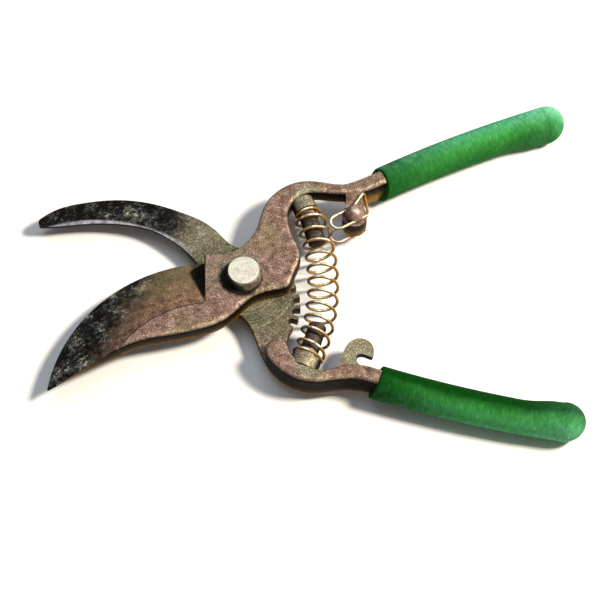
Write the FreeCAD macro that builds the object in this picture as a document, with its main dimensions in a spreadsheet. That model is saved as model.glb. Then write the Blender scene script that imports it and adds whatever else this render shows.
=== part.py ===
"""Forged bypass pruning shears, lying open, as a parametric document in millimetres.

Frame: the origin is on the pivot axis, on the plane that the shears lie on. +Z is up, +X runs
towards the handles and -X towards the jaws. The blade arm is the upper forging, with its handle
on the +Y side. The hook arm is the lower forging, with its handle on the -Y side.
"""
import FreeCAD, Part
import Sketcher
import math
import os

from FreeCAD import Placement, Rotation, Vector

UP = Vector(0, 0, 1)
WHOLE_TURN = 360.0
# Turns +Z into +X, +X into +Y and +Y into +Z.
AXES_ROUND = Rotation(Vector(1, 1, 1), 120)

# Driving dimensions: alias, value in mm (or degrees, or a count), what it is.
SIZES = [
    # the stack at the pivot, from the ground up
    ("nut_thick", 3.2, "height of the thin pivot nut"),
    ("nut_flats", 10.0, "nut width across flats"),
    ("washer_thick", 0.8, "thickness of the washer under the hook arm"),
    ("washer_play", 0.2, "radial play of that washer round the thread"),
    ("washer_dia", 13.0, "outside diameter of that washer"),
    ("plate_thick", 4.5, "hook arm at its bearing ring"),
    ("ring_rise", 0.3, "how far the bearing ring stands above the hook arm's plate"),
    ("ring_dia", 31.2, "outside diameter of the bearing ring"),
    ("body_thick", 7.0, "blade arm forging"),
    ("head_rise", 5.0, "height of the bolt head"),
    ("head_dia", 13.0, "diameter of the bolt head"),
    ("head_bevel", 0.6, "bevel round the bolt head"),
    ("shank_dia", 8.0, "bolt shank"),
    ("shank_flats", 6.8, "bolt shank across the flats that the hook arm holds"),
    ("thread_dia", 6.0, "threaded end of the bolt"),
    ("thread_inset", 0.4, "how far the bolt's end stays inside the nut"),
    ("running_gap", 0.05, "radial clearance of a shaft that turns in its bore"),
    ("press_gap", 0.02, "radial clearance of a shaft that is fixed in its bore"),
    # the forgings
    ("forged_round", 1.9, "rounding of the forgings' upper edges"),
    ("under_round", 1.0, "rounding of the forgings' lower edges"),
    ("edge_radius", 61.9, "radius of the cutting edge"),
    ("edge_centre_x", -11.6, "centre of the cutting edge's arc"),
    ("edge_centre_y", -52.1, "centre of the cutting edge's arc"),
    ("edge_land", 0.35, "thickness left at the cutting edge"),
    ("grind_depth", 21.0, "width of the hollow-ground bevel"),
    ("grind_hollow", 0.7, "how far the bevel is hollowed below its chord"),
    ("shoulder_angle", 93.6, "where the bevel stops, about the edge's centre, in degrees"),
    ("tip_angle", 172.9, "where the blade's point is, about the edge's centre, in degrees"),
    ("jaw_wall", 1.2, "upright wall left along the hook jaw's concave edge"),
    ("jaw_bevel", 2.0, "how far the bevel under that wall reaches in at the jaw's underside"),
    ("heel_radius", 18.4, "rounded heel of the hook arm"),
    ("heel_centre_x", 3.1, "centre of the heel's arc"),
    ("heel_centre_y", -8.1, "centre of the heel's arc"),
    ("notch_count", 4, "notches in the heel"),
    ("notch_pitch", 15.3, "angle between the notches about the heel's centre, in degrees"),
    ("notch_first", 19.5, "angle of the first notch about the heel's centre, in degrees"),
    ("notch_width", 2.8, "width of a heel notch"),
    ("notch_depth", 3.0, "depth of a heel notch"),
    # the handles
    ("handle_thick", 12.0, "height of the forged handles"),
    ("handle_width", 6.6, "width of the forged handles beside the grips"),
    ("tang_thick", 9.6, "height of the tang inside a grip"),
    ("tang_width", 8.2, "width of the tang inside a grip"),
    ("handle_round", 2.2, "rounding of the handles' long edges"),
    ("tang_short", 7.0, "how far the tang ends before the grip does"),
    ("upper_collar_x", 52.6, "where the blade arm's grip begins"),
    ("upper_collar_y", 44.9, "where the blade arm's grip begins"),
    ("upper_end_x", 126.8, "end of the blade arm's grip"),
    ("upper_end_y", 77.2, "end of the blade arm's grip"),
    ("lower_collar_x", 49.6, "where the hook arm's grip begins"),
    ("lower_collar_y", -41.9, "where the hook arm's grip begins"),
    ("lower_end_x", 126.8, "end of the hook arm's grip"),
    ("lower_end_y", -60.4, "end of the hook arm's grip"),
    ("grip_bow", 1.7, "how far a grip bows outwards at its middle"),
    ("grip_width", 12.7, "grip across, in the plane of the shears"),
    ("grip_thick", 14.4, "grip height"),
    ("bulb_thick", 17.8, "height of a grip's swollen end, which rests on the ground"),
    ("bulb_width", 14.0, "swollen end of a grip, in the plane of the shears"),
    ("bulb_inward", 1.0, "how far the swollen end leans towards the other handle"),
    ("bulb_cap", 8.0, "length of the rounded end of a grip"),
    ("mouth_slant", 17.0, "slant of a grip's mouth, in degrees"),
    ("mouth_round", 0.7, "rounding of a grip's mouth"),
    ("grip_fit", 0.1, "clearance between a grip and its tang"),
    # the main spring and its stubs
    ("spring_bow", 84.6, "radius of the spring's bowed axis"),
    ("spring_centre_x", -54.4, "centre of the spring's bowed axis"),
    ("spring_centre_y", -0.5, "centre of the spring's bowed axis"),
    ("spring_height", 10.5, "height of the spring's axis above the ground"),
    ("spring_dia", 11.3, "mean diameter of the spring"),
    ("spring_end_dia", 9.0, "mean diameter of its last turn, which closes on the upper stub"),
    ("spring_wire", 1.2, "spring wire"),
    ("spring_turns", 12.5, "turns of the spring"),
    ("spring_half_angle", 21.9, "half the angle that the bowed spring spans, in degrees"),
    ("stub_dia", 7.0, "diameter of the spring stubs"),
    ("stub_length", 15.0, "length of a stub beyond the spring's seat"),
    ("seat_dia", 11.4, "diameter of the spring's seat on the hook arm"),
    ("upper_seat_dia", 9.4, "diameter of the spring's seat on the blade arm"),
    ("seat_depth", 5.0, "depth of a spring seat, down into the neck"),
    ("stub_round", 1.0, "rounding of a stub's end"),
    ("seat_gap", 0.15, "gap between the spring's wire and its seat"),
    # the latch
    ("rivet_x", 42.5, "latch rivet on the blade arm"),
    ("rivet_y", 27.4, "latch rivet on the blade arm"),
    ("rivet_dia", 3.6, "shank of the latch rivet"),
    ("rivet_head_dia", 7.4, "domed head of the latch rivet"),
    ("rivet_head_rise", 3.1, "height of the rivet's domed head"),
    ("rivet_tail_dia", 6.4, "closing head of the rivet"),
    ("rivet_tail_rise", 1.4, "height of the rivet's closing head"),
    ("lug_radius", 4.8, "rounded end of the latch lug"),
    ("lug_stem", 6.4, "width of the lug where it leaves the neck"),
    ("lug_thick", 7.6, "height of the latch lug"),
    ("lug_drop", 1.1, "how far the latch lug reaches below the blade arm's flat underside"),
    ("latch_washer_dia", 6.8, "washers that turn with the bail"),
    ("latch_washer_thick", 0.7, "washers that turn with the bail"),
    ("bail_wire", 1.1, "wire of the latch bail"),
    ("bail_slot", 4.9, "clear width of the bail's loops"),
    ("bail_back", 10.2, "reach of the bail's loops behind the rivet"),
    ("bail_front", 8.1, "distance from the rivet to the bail's crossbar"),
    ("bail_splay", 3.8, "how far the bail's upper corner is splayed"),
    ("bail_corner", 1.2, "bend radius at the bail's corners"),
    ("bail_angle", 29.5, "direction of the bail at rest, in degrees"),
    ("bail_spread", 1.0, "where the bail's upper wire begins to spread, from the rivet"),
    ("bail_ease", 4.0, "bend radius where it begins to spread"),
    ("bail_ends", 4.0, "where the bail's two free ends stop, from the rivet"),
    ("bail_gap", 0.1, "clearance of the bail's loops from the rivet's heads and washers"),
    ("catch_foot", 8.1, "height of the catch hook's underside above the ground"),
    ("catch_thick", 2.8, "thickness of the catch hook"),
    ("catch_beak_y", -31.4, "underside of the catch hook's beak, where the bail's crossbar pulls"),
]

doc = FreeCAD.newDocument("pruning_shears")
sheet = doc.addObject("Spreadsheet::Sheet", "sizes")
for row, (alias, value, meaning) in enumerate(SIZES, start=1):
    sheet.set(f"A{row}", meaning)
    sheet.set(f"B{row}", str(value))
    sheet.setAlias(f"B{row}", alias)
doc.recompute()


def size(alias):
    """A driving dimension, read from the sheet."""
    return float(getattr(sheet, alias))


# Levels above the ground, as expressions for the objects and as numbers for the outlines.
PARTING = "sizes.nut_thick + sizes.washer_thick + sizes.plate_thick"
PLATE_FOOT = "sizes.nut_thick + sizes.washer_thick"
BODY_TOP = PARTING + " + sizes.body_thick"
parting_z = size("nut_thick") + size("washer_thick") + size("plate_thick")
plate_foot_z = size("nut_thick") + size("washer_thick")
body_top_z = parting_z + size("body_thick")
handle_mid_z = body_top_z - size("handle_thick") / 2


# ---------------------------------------------------------------- drawing helpers

def origin_plane(body, role):
    """The named origin plane of a body."""
    return next(feature for feature in body.Origin.OriginFeatures if feature.Role == role)


def flat_sketch(body, name, height):
    """A sketch in a body, parallel to the ground, at a height given as an expression."""
    sketch = body.newObject("Sketcher::SketchObject", name)
    sketch.AttachmentSupport = (origin_plane(body, "XY_Plane"), [""])
    sketch.MapMode = "FlatFace"
    sketch.setExpression("AttachmentOffset.Base.z", height)
    return sketch


def pad(body, sketch, name, length):
    """A pad of a sketch, upwards, whose length is an expression."""
    feature = body.newObject("PartDesign::Pad", name)
    feature.Profile = sketch
    feature.setExpression("Length", length)
    return feature


def bore(body, name, diameter):
    """A round hole through a body on the pivot axis, cut upwards from the ground."""
    sketch = flat_sketch(body, name + "_circle", "0 * sizes.body_thick")
    sketch.addGeometry(Part.Circle(Vector(0, 0, 0), UP, size("shank_dia") / 2), False)
    sketch.addConstraint(Sketcher.Constraint("Coincident", 0, 3, -1, 1))
    sketch.addConstraint(Sketcher.Constraint("Diameter", 0, size("shank_dia")))
    sketch.setExpression("Constraints[1]", diameter)
    pocket = body.newObject("PartDesign::Pocket", name)
    pocket.Profile = sketch
    pocket.Type = "ThroughAll"
    pocket.Reversed = True
    return pocket


def spline(points, start=None, end=None):
    """A smooth curve through points, with the given directions at its ends."""
    curve = Part.BSplineCurve()
    vectors = [Vector(x, y, 0) for x, y in points]
    if start and end:
        curve.interpolate(Points=vectors, InitialTangent=Vector(*start, 0), FinalTangent=Vector(*end, 0))
    else:
        curve.interpolate(Points=vectors)
    return curve


def arc(start, via, end):
    """A circular arc through three points of the plane."""
    return Part.Arc(Vector(*start, 0), Vector(*via, 0), Vector(*end, 0))


def segment(start, end):
    """A straight line between two points of the plane."""
    return Part.LineSegment(Vector(*start, 0), Vector(*end, 0))


def polar(centre, radius, angle):
    """The point at an angle, in degrees, and a distance from a centre."""
    turn = math.radians(angle)
    return (centre[0] + radius * math.cos(turn), centre[1] + radius * math.sin(turn))


def level_edges(shape, height):
    """Names of the edges that lie flat at one height."""
    names = []
    for index, edge in enumerate(shape.Edges, start=1):
        box = edge.BoundBox
        if abs(box.ZMin - height) < 1e-4 and abs(box.ZMax - height) < 1e-4:
            names.append(f"Edge{index}")
    return names


def fillet(body, name, radius, edges):
    """A rounding of the body's last feature along some of its edges."""
    last = body.Tip
    feature = body.newObject("PartDesign::Fillet", name)
    feature.Base = (last, edges)
    feature.setExpression("Radius", radius)
    return feature


def add_rounded_rectangle(sketch, width, height, top, bottom):
    """A rounded rectangle about a sketch's origin, with its own roundings above and below."""
    across, up = width / 2, height / 2
    bends = []
    for side, level, rounding, first in [(1, -1, bottom, -90), (1, 1, top, 0), (-1, 1, top, 90),
                                         (-1, -1, bottom, 180)]:
        centre = (side * (across - rounding), level * (up - rounding))
        bends.append([polar(centre, rounding, first + step) for step in (0, 45, 90)])
    for bend, following in zip(bends, bends[1:] + bends[:1]):
        sketch.addGeometry(arc(*bend), False)
        sketch.addGeometry(segment(bend[2], following[0]), False)


def add_ellipse(sketch, width, height):
    """An ellipse about a sketch's origin."""
    flat, tall = Vector(width / 2, 0, 0), Vector(0, height / 2, 0)
    if width > height:
        flat, tall = tall, flat
    sketch.addGeometry(Part.Ellipse(tall, flat, Vector(0, 0, 0)), False)


def station(body, name, x, y, z, angle):
    """A sketch that stands square across a path at a point, for one section of a loft."""
    sketch = body.newObject("Sketcher::SketchObject", name)
    sketch.AttachmentSupport = (origin_plane(body, "YZ_Plane"), [""])
    sketch.MapMode = "FlatFace"
    sketch.AttachmentOffset = Placement(Vector(y, z, x), Rotation(Vector(0, 1, 0), angle))
    return sketch


def loft(body, name, sketches, kind="PartDesign::AdditiveLoft"):
    """A smooth loft through section sketches."""
    feature = body.newObject(kind, name)
    feature.Profile = sketches[0]
    feature.Sections = sketches[1:]
    return feature


def forged_run(body, name, sections, extra=0.0, kind="PartDesign::AdditiveLoft"):
    """A loft of rounded rectangles: (x, y, angle, width, foot, top, upper rounding, lower rounding)."""
    sketches = []
    for count, (x, y, angle, width, foot, top, above, below) in enumerate(sections):
        sketch = station(body, f"{name}_{count}", x, y, (foot + top) / 2, angle)
        add_rounded_rectangle(sketch, width + 2 * extra, top - foot + 2 * extra, above + extra, below + extra)
        sketches.append(sketch)
    return loft(body, name, sketches, kind)


class HandleLine:
    """The bowed centreline of a handle inside its grip, seen from above."""

    def __init__(self, start, end, outward):
        chord = math.hypot(end[0] - start[0], end[1] - start[1])
        self.outward = outward
        self.half = 2 * math.atan(2 * size("grip_bow") / chord)
        self.radius = chord / (2 * math.sin(self.half))
        self.length = 2 * self.half * self.radius
        self.first = math.atan2(end[1] - start[1], end[0] - start[0]) + outward * self.half
        self.centre = (start[0] + outward * self.radius * math.sin(self.first),
                       start[1] - outward * self.radius * math.cos(self.first))

    def at(self, distance, inward=0.0):
        """The point and the direction, in degrees, at a distance from the grip's mouth."""
        turn = self.first - self.outward * distance / self.radius
        reach = self.outward * (self.radius - inward)
        return (self.centre[0] - reach * math.sin(turn), self.centre[1] + reach * math.cos(turn),
                math.degrees(turn))


# ---------------------------------------------------------------- handles and grips

handle_foot_z = body_top_z - size("handle_thick")
bulb_mid_z = size("bulb_thick") / 2
upper_line = HandleLine((size("upper_collar_x"), size("upper_collar_y")),
                        (size("upper_end_x"), size("upper_end_y")), 1)
lower_line = HandleLine((size("lower_collar_x"), size("lower_collar_y")),
                        (size("lower_end_x"), size("lower_end_y")), -1)
# How much of each handle is drawn with its tang, outside the grip.
BARE = 3.5
# Where the tang's sections stand, as shares of its length.
TANG_SHARES = (0.16, 0.4, 0.7, 1.0)
GRIP_OVALS = 16
# Where a grip begins to swell, as a share of its length.
SWELLS_FROM = 0.76
# The block that cuts a grip's mouth: along, across and up.
MOUTH_BLOCK = (20.0, 40.0, 60.0)


def tang_sections(line):
    """The sections of a handle from just outside its grip to the end of its tang."""
    tang_end = line.length - size("tang_short")
    half_tang = size("tang_thick") / 2
    rounding = size("handle_round")
    sections = []
    for distance in (-BARE, 0.0):
        sections.append((*line.at(distance), size("handle_width"), handle_foot_z, body_top_z,
                         rounding, rounding))
    for share in TANG_SHARES:
        middle = grip_mid_z(line, tang_end * share)
        sections.append((*line.at(tang_end * share), size("tang_width"), middle - half_tang,
                         middle + half_tang, rounding, rounding))
    return sections


def grip_mid_z(line, distance):
    """The height of a grip's middle, which falls slightly from its mouth to its swollen end."""
    share = distance / (line.length - size("bulb_cap"))
    return handle_mid_z + (bulb_mid_z - handle_mid_z) * share


def build_grip(name, line):
    """A hollow vinyl grip: a bowed oval with a swollen, rounded end, open at its slanted mouth."""
    body = doc.addObject("PartDesign::Body", name)
    equator = line.length - size("bulb_cap")
    first = -1.6 * BARE
    sketches = []
    for count in range(GRIP_OVALS):
        distance = first + (equator - first) * count / (GRIP_OVALS - 1)
        swelling = max(0.0, (distance / equator - SWELLS_FROM) / (1 - SWELLS_FROM))
        swelling = swelling ** 2 * (3 - 2 * swelling)
        x, y, angle = line.at(distance, size("bulb_inward") * swelling)
        sketch = station(body, f"{name}_oval_{count}", x, y, grip_mid_z(line, distance), angle)
        add_ellipse(sketch, size("grip_width") + (size("bulb_width") - size("grip_width")) * swelling,
                    size("grip_thick") + (size("bulb_thick") - size("grip_thick")) * swelling)
        sketches.append(sketch)
    loft(body, name + "_skin", sketches)
    cap = body.newObject("PartDesign::AdditiveEllipsoid", name + "_cap")
    cap.setExpression("Radius1", "sizes.bulb_cap")
    cap.setExpression("Radius2", "sizes.bulb_width / 2")
    cap.setExpression("Radius3", "sizes.bulb_thick / 2")
    cap.Angle1 = 0.0
    cap.Placement = Placement(Vector(x, y, bulb_mid_z), Rotation(UP, angle) * AXES_ROUND)
    doc.recompute()
    x, y, angle = line.at(0.0)
    along, across, up = MOUTH_BLOCK
    behind = Vector(-along, -across / 2, -up / 2)
    mouth = body.newObject("PartDesign::SubtractiveBox", name + "_mouth")
    mouth.Length, mouth.Width, mouth.Height = MOUTH_BLOCK
    mouth.Placement = Placement(Vector(x, y, handle_mid_z),
                                Rotation(UP, angle) * Rotation(Vector(0, 1, 0), size("mouth_slant"))
                                ).multiply(Placement(behind, Rotation()))
    doc.recompute()
    rim = [f"Edge{index}" for index, edge in enumerate(body.Tip.Shape.Edges, start=1)
           if Vector(edge.CenterOfMass.x - x, edge.CenterOfMass.y - y, 0).Length < 2.5]
    fillet(body, name + "_rim", "sizes.mouth_round", rim)
    forged_run(body, name + "_hollow", tang_sections(line), size("grip_fit"), "PartDesign::SubtractiveLoft")
    return body


# ---------------------------------------------------------------- shared by both arms

def spring_post(body, name, side):
    """The spring's seat and the stub inside its end coils, on the +Y (1) or -Y (-1) side."""
    bow = size("spring_bow")
    half = math.radians(size("spring_half_angle"))
    middle = half - size("stub_length") / 2 / bow
    end = Vector(size("spring_centre_x") + bow * math.cos(half),
                 size("spring_centre_y") + side * bow * math.sin(half), size("spring_height"))
    square = Vector(math.sin(half), -side * math.cos(half), 0)
    axis = Vector(math.sin(middle), -side * math.cos(middle), 0)
    face = end - square * (size("spring_wire") / 2 + size("seat_gap"))
    seat = "sizes.upper_seat_dia / 2" if side > 0 else "sizes.seat_dia / 2"
    steps = [("seat", seat, size("seat_depth"), square, -size("seat_depth")),
             ("stub", "sizes.stub_dia / 2", size("stub_length") + 1.0, axis, -1.0)]
    for step, radius, length, along, back in steps:
        part = body.newObject("PartDesign::AdditiveCylinder", f"{name}_{step}")
        part.setExpression("Radius", radius)
        part.Height = length
        part.Placement = Placement(face + along * back, Rotation(UP, along))
        doc.recompute()
    tip = face + axis * size("stub_length")
    rim = [f"Edge{index}" for index, edge in enumerate(body.Tip.Shape.Edges, start=1)
           if (edge.CenterOfMass - tip).Length < 0.3 and edge.Length > 2 * size("stub_dia")]
    fillet(body, name + "_stub_end", "sizes.stub_round", rim)


# ---------------------------------------------------------------- blade arm

edge_centre = (size("edge_centre_x"), size("edge_centre_y"))
edge_radius = size("edge_radius")
# Where the blade's blank meets its edge, about the edge's centre, in degrees: near the point and the heel.
BLANK_ANGLE = 158.0
HEEL_ANGLE = 88.0
# Where the blade's spine begins to fall to its point.
SPINE_END = (-72.2, -45.3)


def build_blade_arm():
    """The upper forging: hollow-ground blade, waist, neck with the latch lug, handle and tang."""
    body = doc.addObject("PartDesign::Body", "blade_arm")
    blank_tip = polar(edge_centre, edge_radius, BLANK_ANGLE)
    heel = polar(edge_centre, edge_radius, HEEL_ANGLE)
    waist = [heel, (-2.6, 13.1), (4.0, 21.2), (7.2, 32.0), (14.0, 40.5), (24.1, 44.0), (33.0, 42.9),
             (40.5, 42.5)]
    neck = [(40.5, 37.6), (36.5, 37.4), (31.8, 37.8), (25.5, 38.0), (20.8, 36.0), (17.5, 31.5),
            (16.8, 26.0), (17.5, 22.0), (19.8, 16.0), (21.5, 10.5), (20.7, 6.0), (18.9, 1.2)]
    spine = [(17.9, -1.9), (16.9, -3.7), (14.8, -4.8), (10.8, -5.7), (4.3, -8.0), (-1.6, -13.3),
             (-8.7, -19.4), (-16.6, -22.4), (-27.9, -25.0), (-39.1, -27.5), (-50.2, -32.8), (-64.1, -40.2),
             SPINE_END, (-80.3, -50.4)]
    corner = (-86.0, blank_tip[1])
    half_way = polar(edge_centre, edge_radius, (BLANK_ANGLE + HEEL_ANGLE) / 2)
    outline = flat_sketch(body, "blade_arm_outline", PARTING)
    outline.addGeometry(arc(blank_tip, half_way, heel), False)
    outline.addGeometry(spline(waist), False)
    outline.addGeometry(segment(waist[-1], neck[0]), False)
    outline.addGeometry(spline(neck + spine), False)
    outline.addGeometry(segment(spine[-1], corner), False)
    outline.addGeometry(segment(corner, blank_tip), False)
    pad(body, outline, "blade_arm_blank", "sizes.body_thick")
    doc.recompute()
    shape = body.Tip.Shape
    fillet(body, "blade_arm_upper_edges", "sizes.forged_round", forged_edges(shape, body_top_z))
    doc.recompute()
    fillet(body, "blade_arm_lower_edges", "sizes.under_round", forged_edges(body.Tip.Shape, parting_z))
    doc.recompute()
    grind_hollow(body)
    cut_point(body)
    top_round, low_round = size("forged_round"), size("under_round")
    tang = tang_sections(upper_line)
    root = [(36.8, 39.9, 0, 4.4, parting_z + 0.3, body_top_z - 0.3, top_round - 0.3, low_round - 0.3),
            (40.6, 40.1, 6, 5.4, parting_z - 1.2, body_top_z + 0.12, top_round, low_round),
            (44.8, 41.2, 18, 6.0, parting_z - 3.4, body_top_z + 0.06, top_round, low_round + 0.5), tang[0]]
    forged_run(body, "blade_arm_root", root)
    forged_run(body, "blade_arm_tang", tang)
    doc.recompute()
    spring_post(body, "blade_arm", 1)
    latch_lug(body)
    bore(body, "blade_arm_bore", "sizes.shank_dia + 2 * sizes.running_gap")
    return body


def latch_lug(body):
    """The flat lug under the handle's root that carries the latch."""
    centre = (size("rivet_x"), size("rivet_y"))
    radius = size("lug_radius")
    left, right = polar(centre, radius, 160), polar(centre, radius, 22)
    stem = size("lug_stem") / 2
    sketch = flat_sketch(body, "latch_lug_outline", PARTING + " - sizes.lug_drop")
    sketch.addGeometry(arc(left, polar(centre, radius, 271), right), False)
    up_left, up_right = (centre[0] - stem, centre[1] + 7.5), (centre[0] + stem, centre[1] + 7.5)
    top_left = (centre[0] - stem - 0.6, centre[1] + 12.6)
    top_right = (centre[0] + stem + 2.4, centre[1] + 14.6)
    sketch.addGeometry(spline([right, up_right, top_right]), False)
    sketch.addGeometry(segment(top_right, top_left), False)
    sketch.addGeometry(spline([top_left, up_left, left]), False)
    pad(body, sketch, "latch_lug", "sizes.lug_thick")
    hole = flat_sketch(body, "latch_lug_hole_circle", PARTING + " - sizes.lug_drop")
    hole.addGeometry(Part.Circle(Vector(*centre, 0), UP, size("rivet_dia") / 2), False)
    hole.addConstraint(Sketcher.Constraint("Diameter", 0, size("rivet_dia")))
    hole.setExpression("Constraints[0]", "sizes.rivet_dia + 2 * sizes.press_gap")
    pocket = body.newObject("PartDesign::Pocket", "latch_lug_hole")
    pocket.Profile = hole
    pocket.Reversed = True
    pocket.setExpression("Length", "sizes.lug_thick")
    doc.recompute()


def forged_edges(shape, height):
    """The curved edges of an outline at a height, without its straight ends and its cutting edge."""
    names = []
    for name in level_edges(shape, height):
        edge = shape.getElement(name)
        if isinstance(edge.Curve, Part.Line):
            continue
        if isinstance(edge.Curve, Part.Circle) and abs(edge.Curve.Radius - edge_radius) < 0.01:
            continue
        names.append(name)
    return names


def grind_hollow(body):
    """The hollow-ground bevel: a concave profile revolved about the centre of the cutting edge."""
    top = body_top_z
    land = parting_z + size("edge_land")
    inner = edge_radius - size("grind_depth")
    outer = edge_radius + 24.0
    chord_turn = math.atan2(top - land, -size("grind_depth"))
    low = size("grind_hollow")
    middle = ((inner + edge_radius) / 2 - low * math.sin(chord_turn),
              (top + land) / 2 + low * math.cos(chord_turn))
    sketch = body.newObject("Sketcher::SketchObject", "blade_arm_grind_profile")
    sketch.AttachmentSupport = (origin_plane(body, "XZ_Plane"), [""])
    sketch.MapMode = "FlatFace"
    sketch.AttachmentOffset = Placement(Vector(edge_centre[0], 0, -edge_centre[1]),
                                        Rotation(Vector(0, 1, 0), size("shoulder_angle")))
    sketch.addGeometry(arc((edge_radius, land), middle, (inner, top)), False)
    corners = [(inner, top), (inner, top + 2.0), (outer, top + 2.0), (outer, land), (edge_radius, land)]
    for start, end in zip(corners, corners[1:]):
        sketch.addGeometry(segment(start, end), False)
    groove = body.newObject("PartDesign::Groove", "blade_arm_hollow_grind")
    groove.Profile = sketch
    groove.ReferenceAxis = (sketch, ["V_Axis"])
    groove.Angle = 95.0
    doc.recompute()


def cut_point(body):
    """The blade's outline near its point, cut through the blank."""
    start = polar(edge_centre, edge_radius, BLANK_ANGLE)
    point = polar(edge_centre, edge_radius, size("tip_angle"))
    outer = polar(edge_centre, edge_radius + 30.0, BLANK_ANGLE)
    sketch = flat_sketch(body, "blade_arm_point_outline", PARTING)
    half_way = polar(edge_centre, edge_radius, (BLANK_ANGLE + size("tip_angle")) / 2)
    sketch.addGeometry(arc(start, half_way, point), False)
    crown = ((point[0] + SPINE_END[0]) / 2 - 0.35, (point[1] + SPINE_END[1]) / 2 - 0.25)
    sketch.addGeometry(arc(point, crown, SPINE_END), False)
    corners = [SPINE_END, (-78.0, -62.0), (-104.0, -62.0), outer, start]
    for first, second in zip(corners, corners[1:]):
        sketch.addGeometry(segment(first, second), False)
    pocket = body.newObject("PartDesign::Pocket", "blade_arm_point")
    pocket.Profile = sketch
    pocket.Type = "ThroughAll"
    pocket.Reversed = True
    doc.recompute()


# ---------------------------------------------------------------- hook arm

# The jaw's concave edge, from near the pivot towards its tip.
JAW_EDGE = [(-27.6, 19.6), (-37.0, 25.2), (-46.0, 27.4), (-57.4, 28.1), (-68.0, 27.3), (-75.0, 26.6)]
# Where the hook arm's flat-sided neck meets the handle: X, and its two sides' Y.
NECK_END = (41.5, -43.2, -36.9)


def build_hook_arm():
    """The lower forging: hooked jaw, bearing plate with its notched heel, neck, catch hook, handle."""
    plate = doc.addObject("PartDesign::Body", "hook_plate")
    heel_centre = (size("heel_centre_x"), size("heel_centre_y"))
    heel_radius = size("heel_radius")
    tip = [(-80.1, 26.7), (-81.0, 28.2), (-80.3, 30.2)]
    outer = [tip[-1], (-77.4, 32.5), (-72.6, 35.1), (-64.0, 37.4), (-52.0, 38.8), (-38.0, 37.4),
             (-24.0, 32.6), (-12.0, 25.3), (-2.9, 17.2)]
    shade = [(4.5, 17.0), (12.4, 13.2), (17.6, 6.6), (19.3, 1.0)]
    heel = [polar(heel_centre, heel_radius, angle) for angle in (19, 4, -12, -26)]
    side = [(18.1, -18.5), (16.8, -21.4), (16.3, -24.5), (16.8, -29.0), (17.5, -33.0)]
    back = [(10.0, -34.5), (5.9, -26.5), (4.1, -21.3), (2.2, -17.0), (-1.2, -13.2), (-6.0, -11.0),
            (-10.8, -7.2), (-14.0, -1.0), (-15.8, 5.0), (-19.1, 11.1), *JAW_EDGE, tip[0]]
    sketch = flat_sketch(plate, "hook_plate_outline", PLATE_FOOT)
    sketch.addGeometry(arc(*tip), False)
    sketch.addGeometry(spline(outer + shade + heel + side), False)
    sketch.addGeometry(segment(side[-1], back[0]), False)
    sketch.addGeometry(spline(back), False)
    pad(plate, sketch, "hook_plate_blank", "sizes.plate_thick")
    doc.recompute()
    bevel_jaw(plate)
    cut_notches(plate, heel_centre, heel_radius)
    cut_keyed_bore(plate)
    body = doc.addObject("PartDesign::Body", "hook_handle")
    raise_neck(body)
    tang = tang_sections(lower_line)
    rounding = size("handle_round")
    middle = (NECK_END[1] + NECK_END[2]) / 2
    inset = rounding - 0.3
    root = [(37.4, middle - 0.3, 4, 4.8, handle_foot_z + 0.3, body_top_z - 0.3, inset, inset),
            (41.0, middle, -1, 6.5, handle_foot_z - 0.1, body_top_z + 0.1, rounding, rounding),
            (43.8, middle - 0.25, -8, 6.6, handle_foot_z, body_top_z + 0.05, rounding, rounding), tang[0]]
    forged_run(body, "hook_arm_root", root)
    forged_run(body, "hook_arm_tang", tang)
    doc.recompute()
    spring_post(body, "hook_arm", -1)
    add_catch(body)
    arm = doc.addObject("Part::Fuse", "hook_arm")
    arm.Base = bearing_ring(plate)
    arm.Tool = body
    doc.recompute()
    return arm


# Further from the pivot than any part of the hook arm's plate.
CLEAR_OF_ALL = 110.0


def bearing_ring(plate):
    """The plate with everything outside its bearing ring a little lower than the ring."""
    around = doc.addObject("Part::Box", "around_ring_block")
    around.Length, around.Width = 2 * CLEAR_OF_ALL, 2 * CLEAR_OF_ALL
    around.Placement.Base = Vector(-CLEAR_OF_ALL, -CLEAR_OF_ALL, 0)
    ring = doc.addObject("Part::Cylinder", "ring_core")
    ring.setExpression("Radius", "sizes.ring_dia / 2")
    for block in (around, ring):
        block.setExpression("Height", "2 * sizes.ring_rise")
        block.setExpression("Placement.Base.z", PARTING + " - sizes.ring_rise")
    outside = doc.addObject("Part::Cut", "around_ring")
    outside.Base, outside.Tool = around, ring
    lowered = doc.addObject("Part::Cut", "ringed_plate")
    lowered.Base, lowered.Tool = plate, outside
    doc.recompute()
    return lowered


def bevel_jaw(body):
    """The bevel under the jaw's concave edge, which fades out towards the pivot."""
    edge = [(-18.4, 3.6), (-21.0, 11.2), *JAW_EDGE, (-85.0, 26.9)]
    wall_foot_z = parting_z - size("ring_rise") - size("jaw_wall")
    foot = plate_foot_z - wall_foot_z
    steep = foot / size("jaw_bevel")
    clear = 4.0
    below = 1.2
    spine = flat_sketch(body, "jaw_bevel_path", PARTING + " - sizes.ring_rise - sizes.jaw_wall")
    path = spline(edge)
    spine.addGeometry(path, False)
    start = path.tangent(path.FirstParameter)[0]
    heading = math.degrees(math.atan2(start.y, start.x))
    section = station(body, "jaw_bevel_section", *edge[0], wall_foot_z, heading)
    corners = [(-below * size("jaw_bevel"), below * foot), (clear, below * foot), (clear, -clear * steep)]
    for start, end in zip(corners, corners[1:] + corners[:1]):
        section.addGeometry(segment(start, end), False)
    doc.recompute()
    bevel = body.newObject("PartDesign::SubtractivePipe", "jaw_bevel")
    bevel.Profile = section
    bevel.Spine = spine
    bevel.Mode = "Binormal"
    bevel.Binormal = UP
    doc.recompute()


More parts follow.
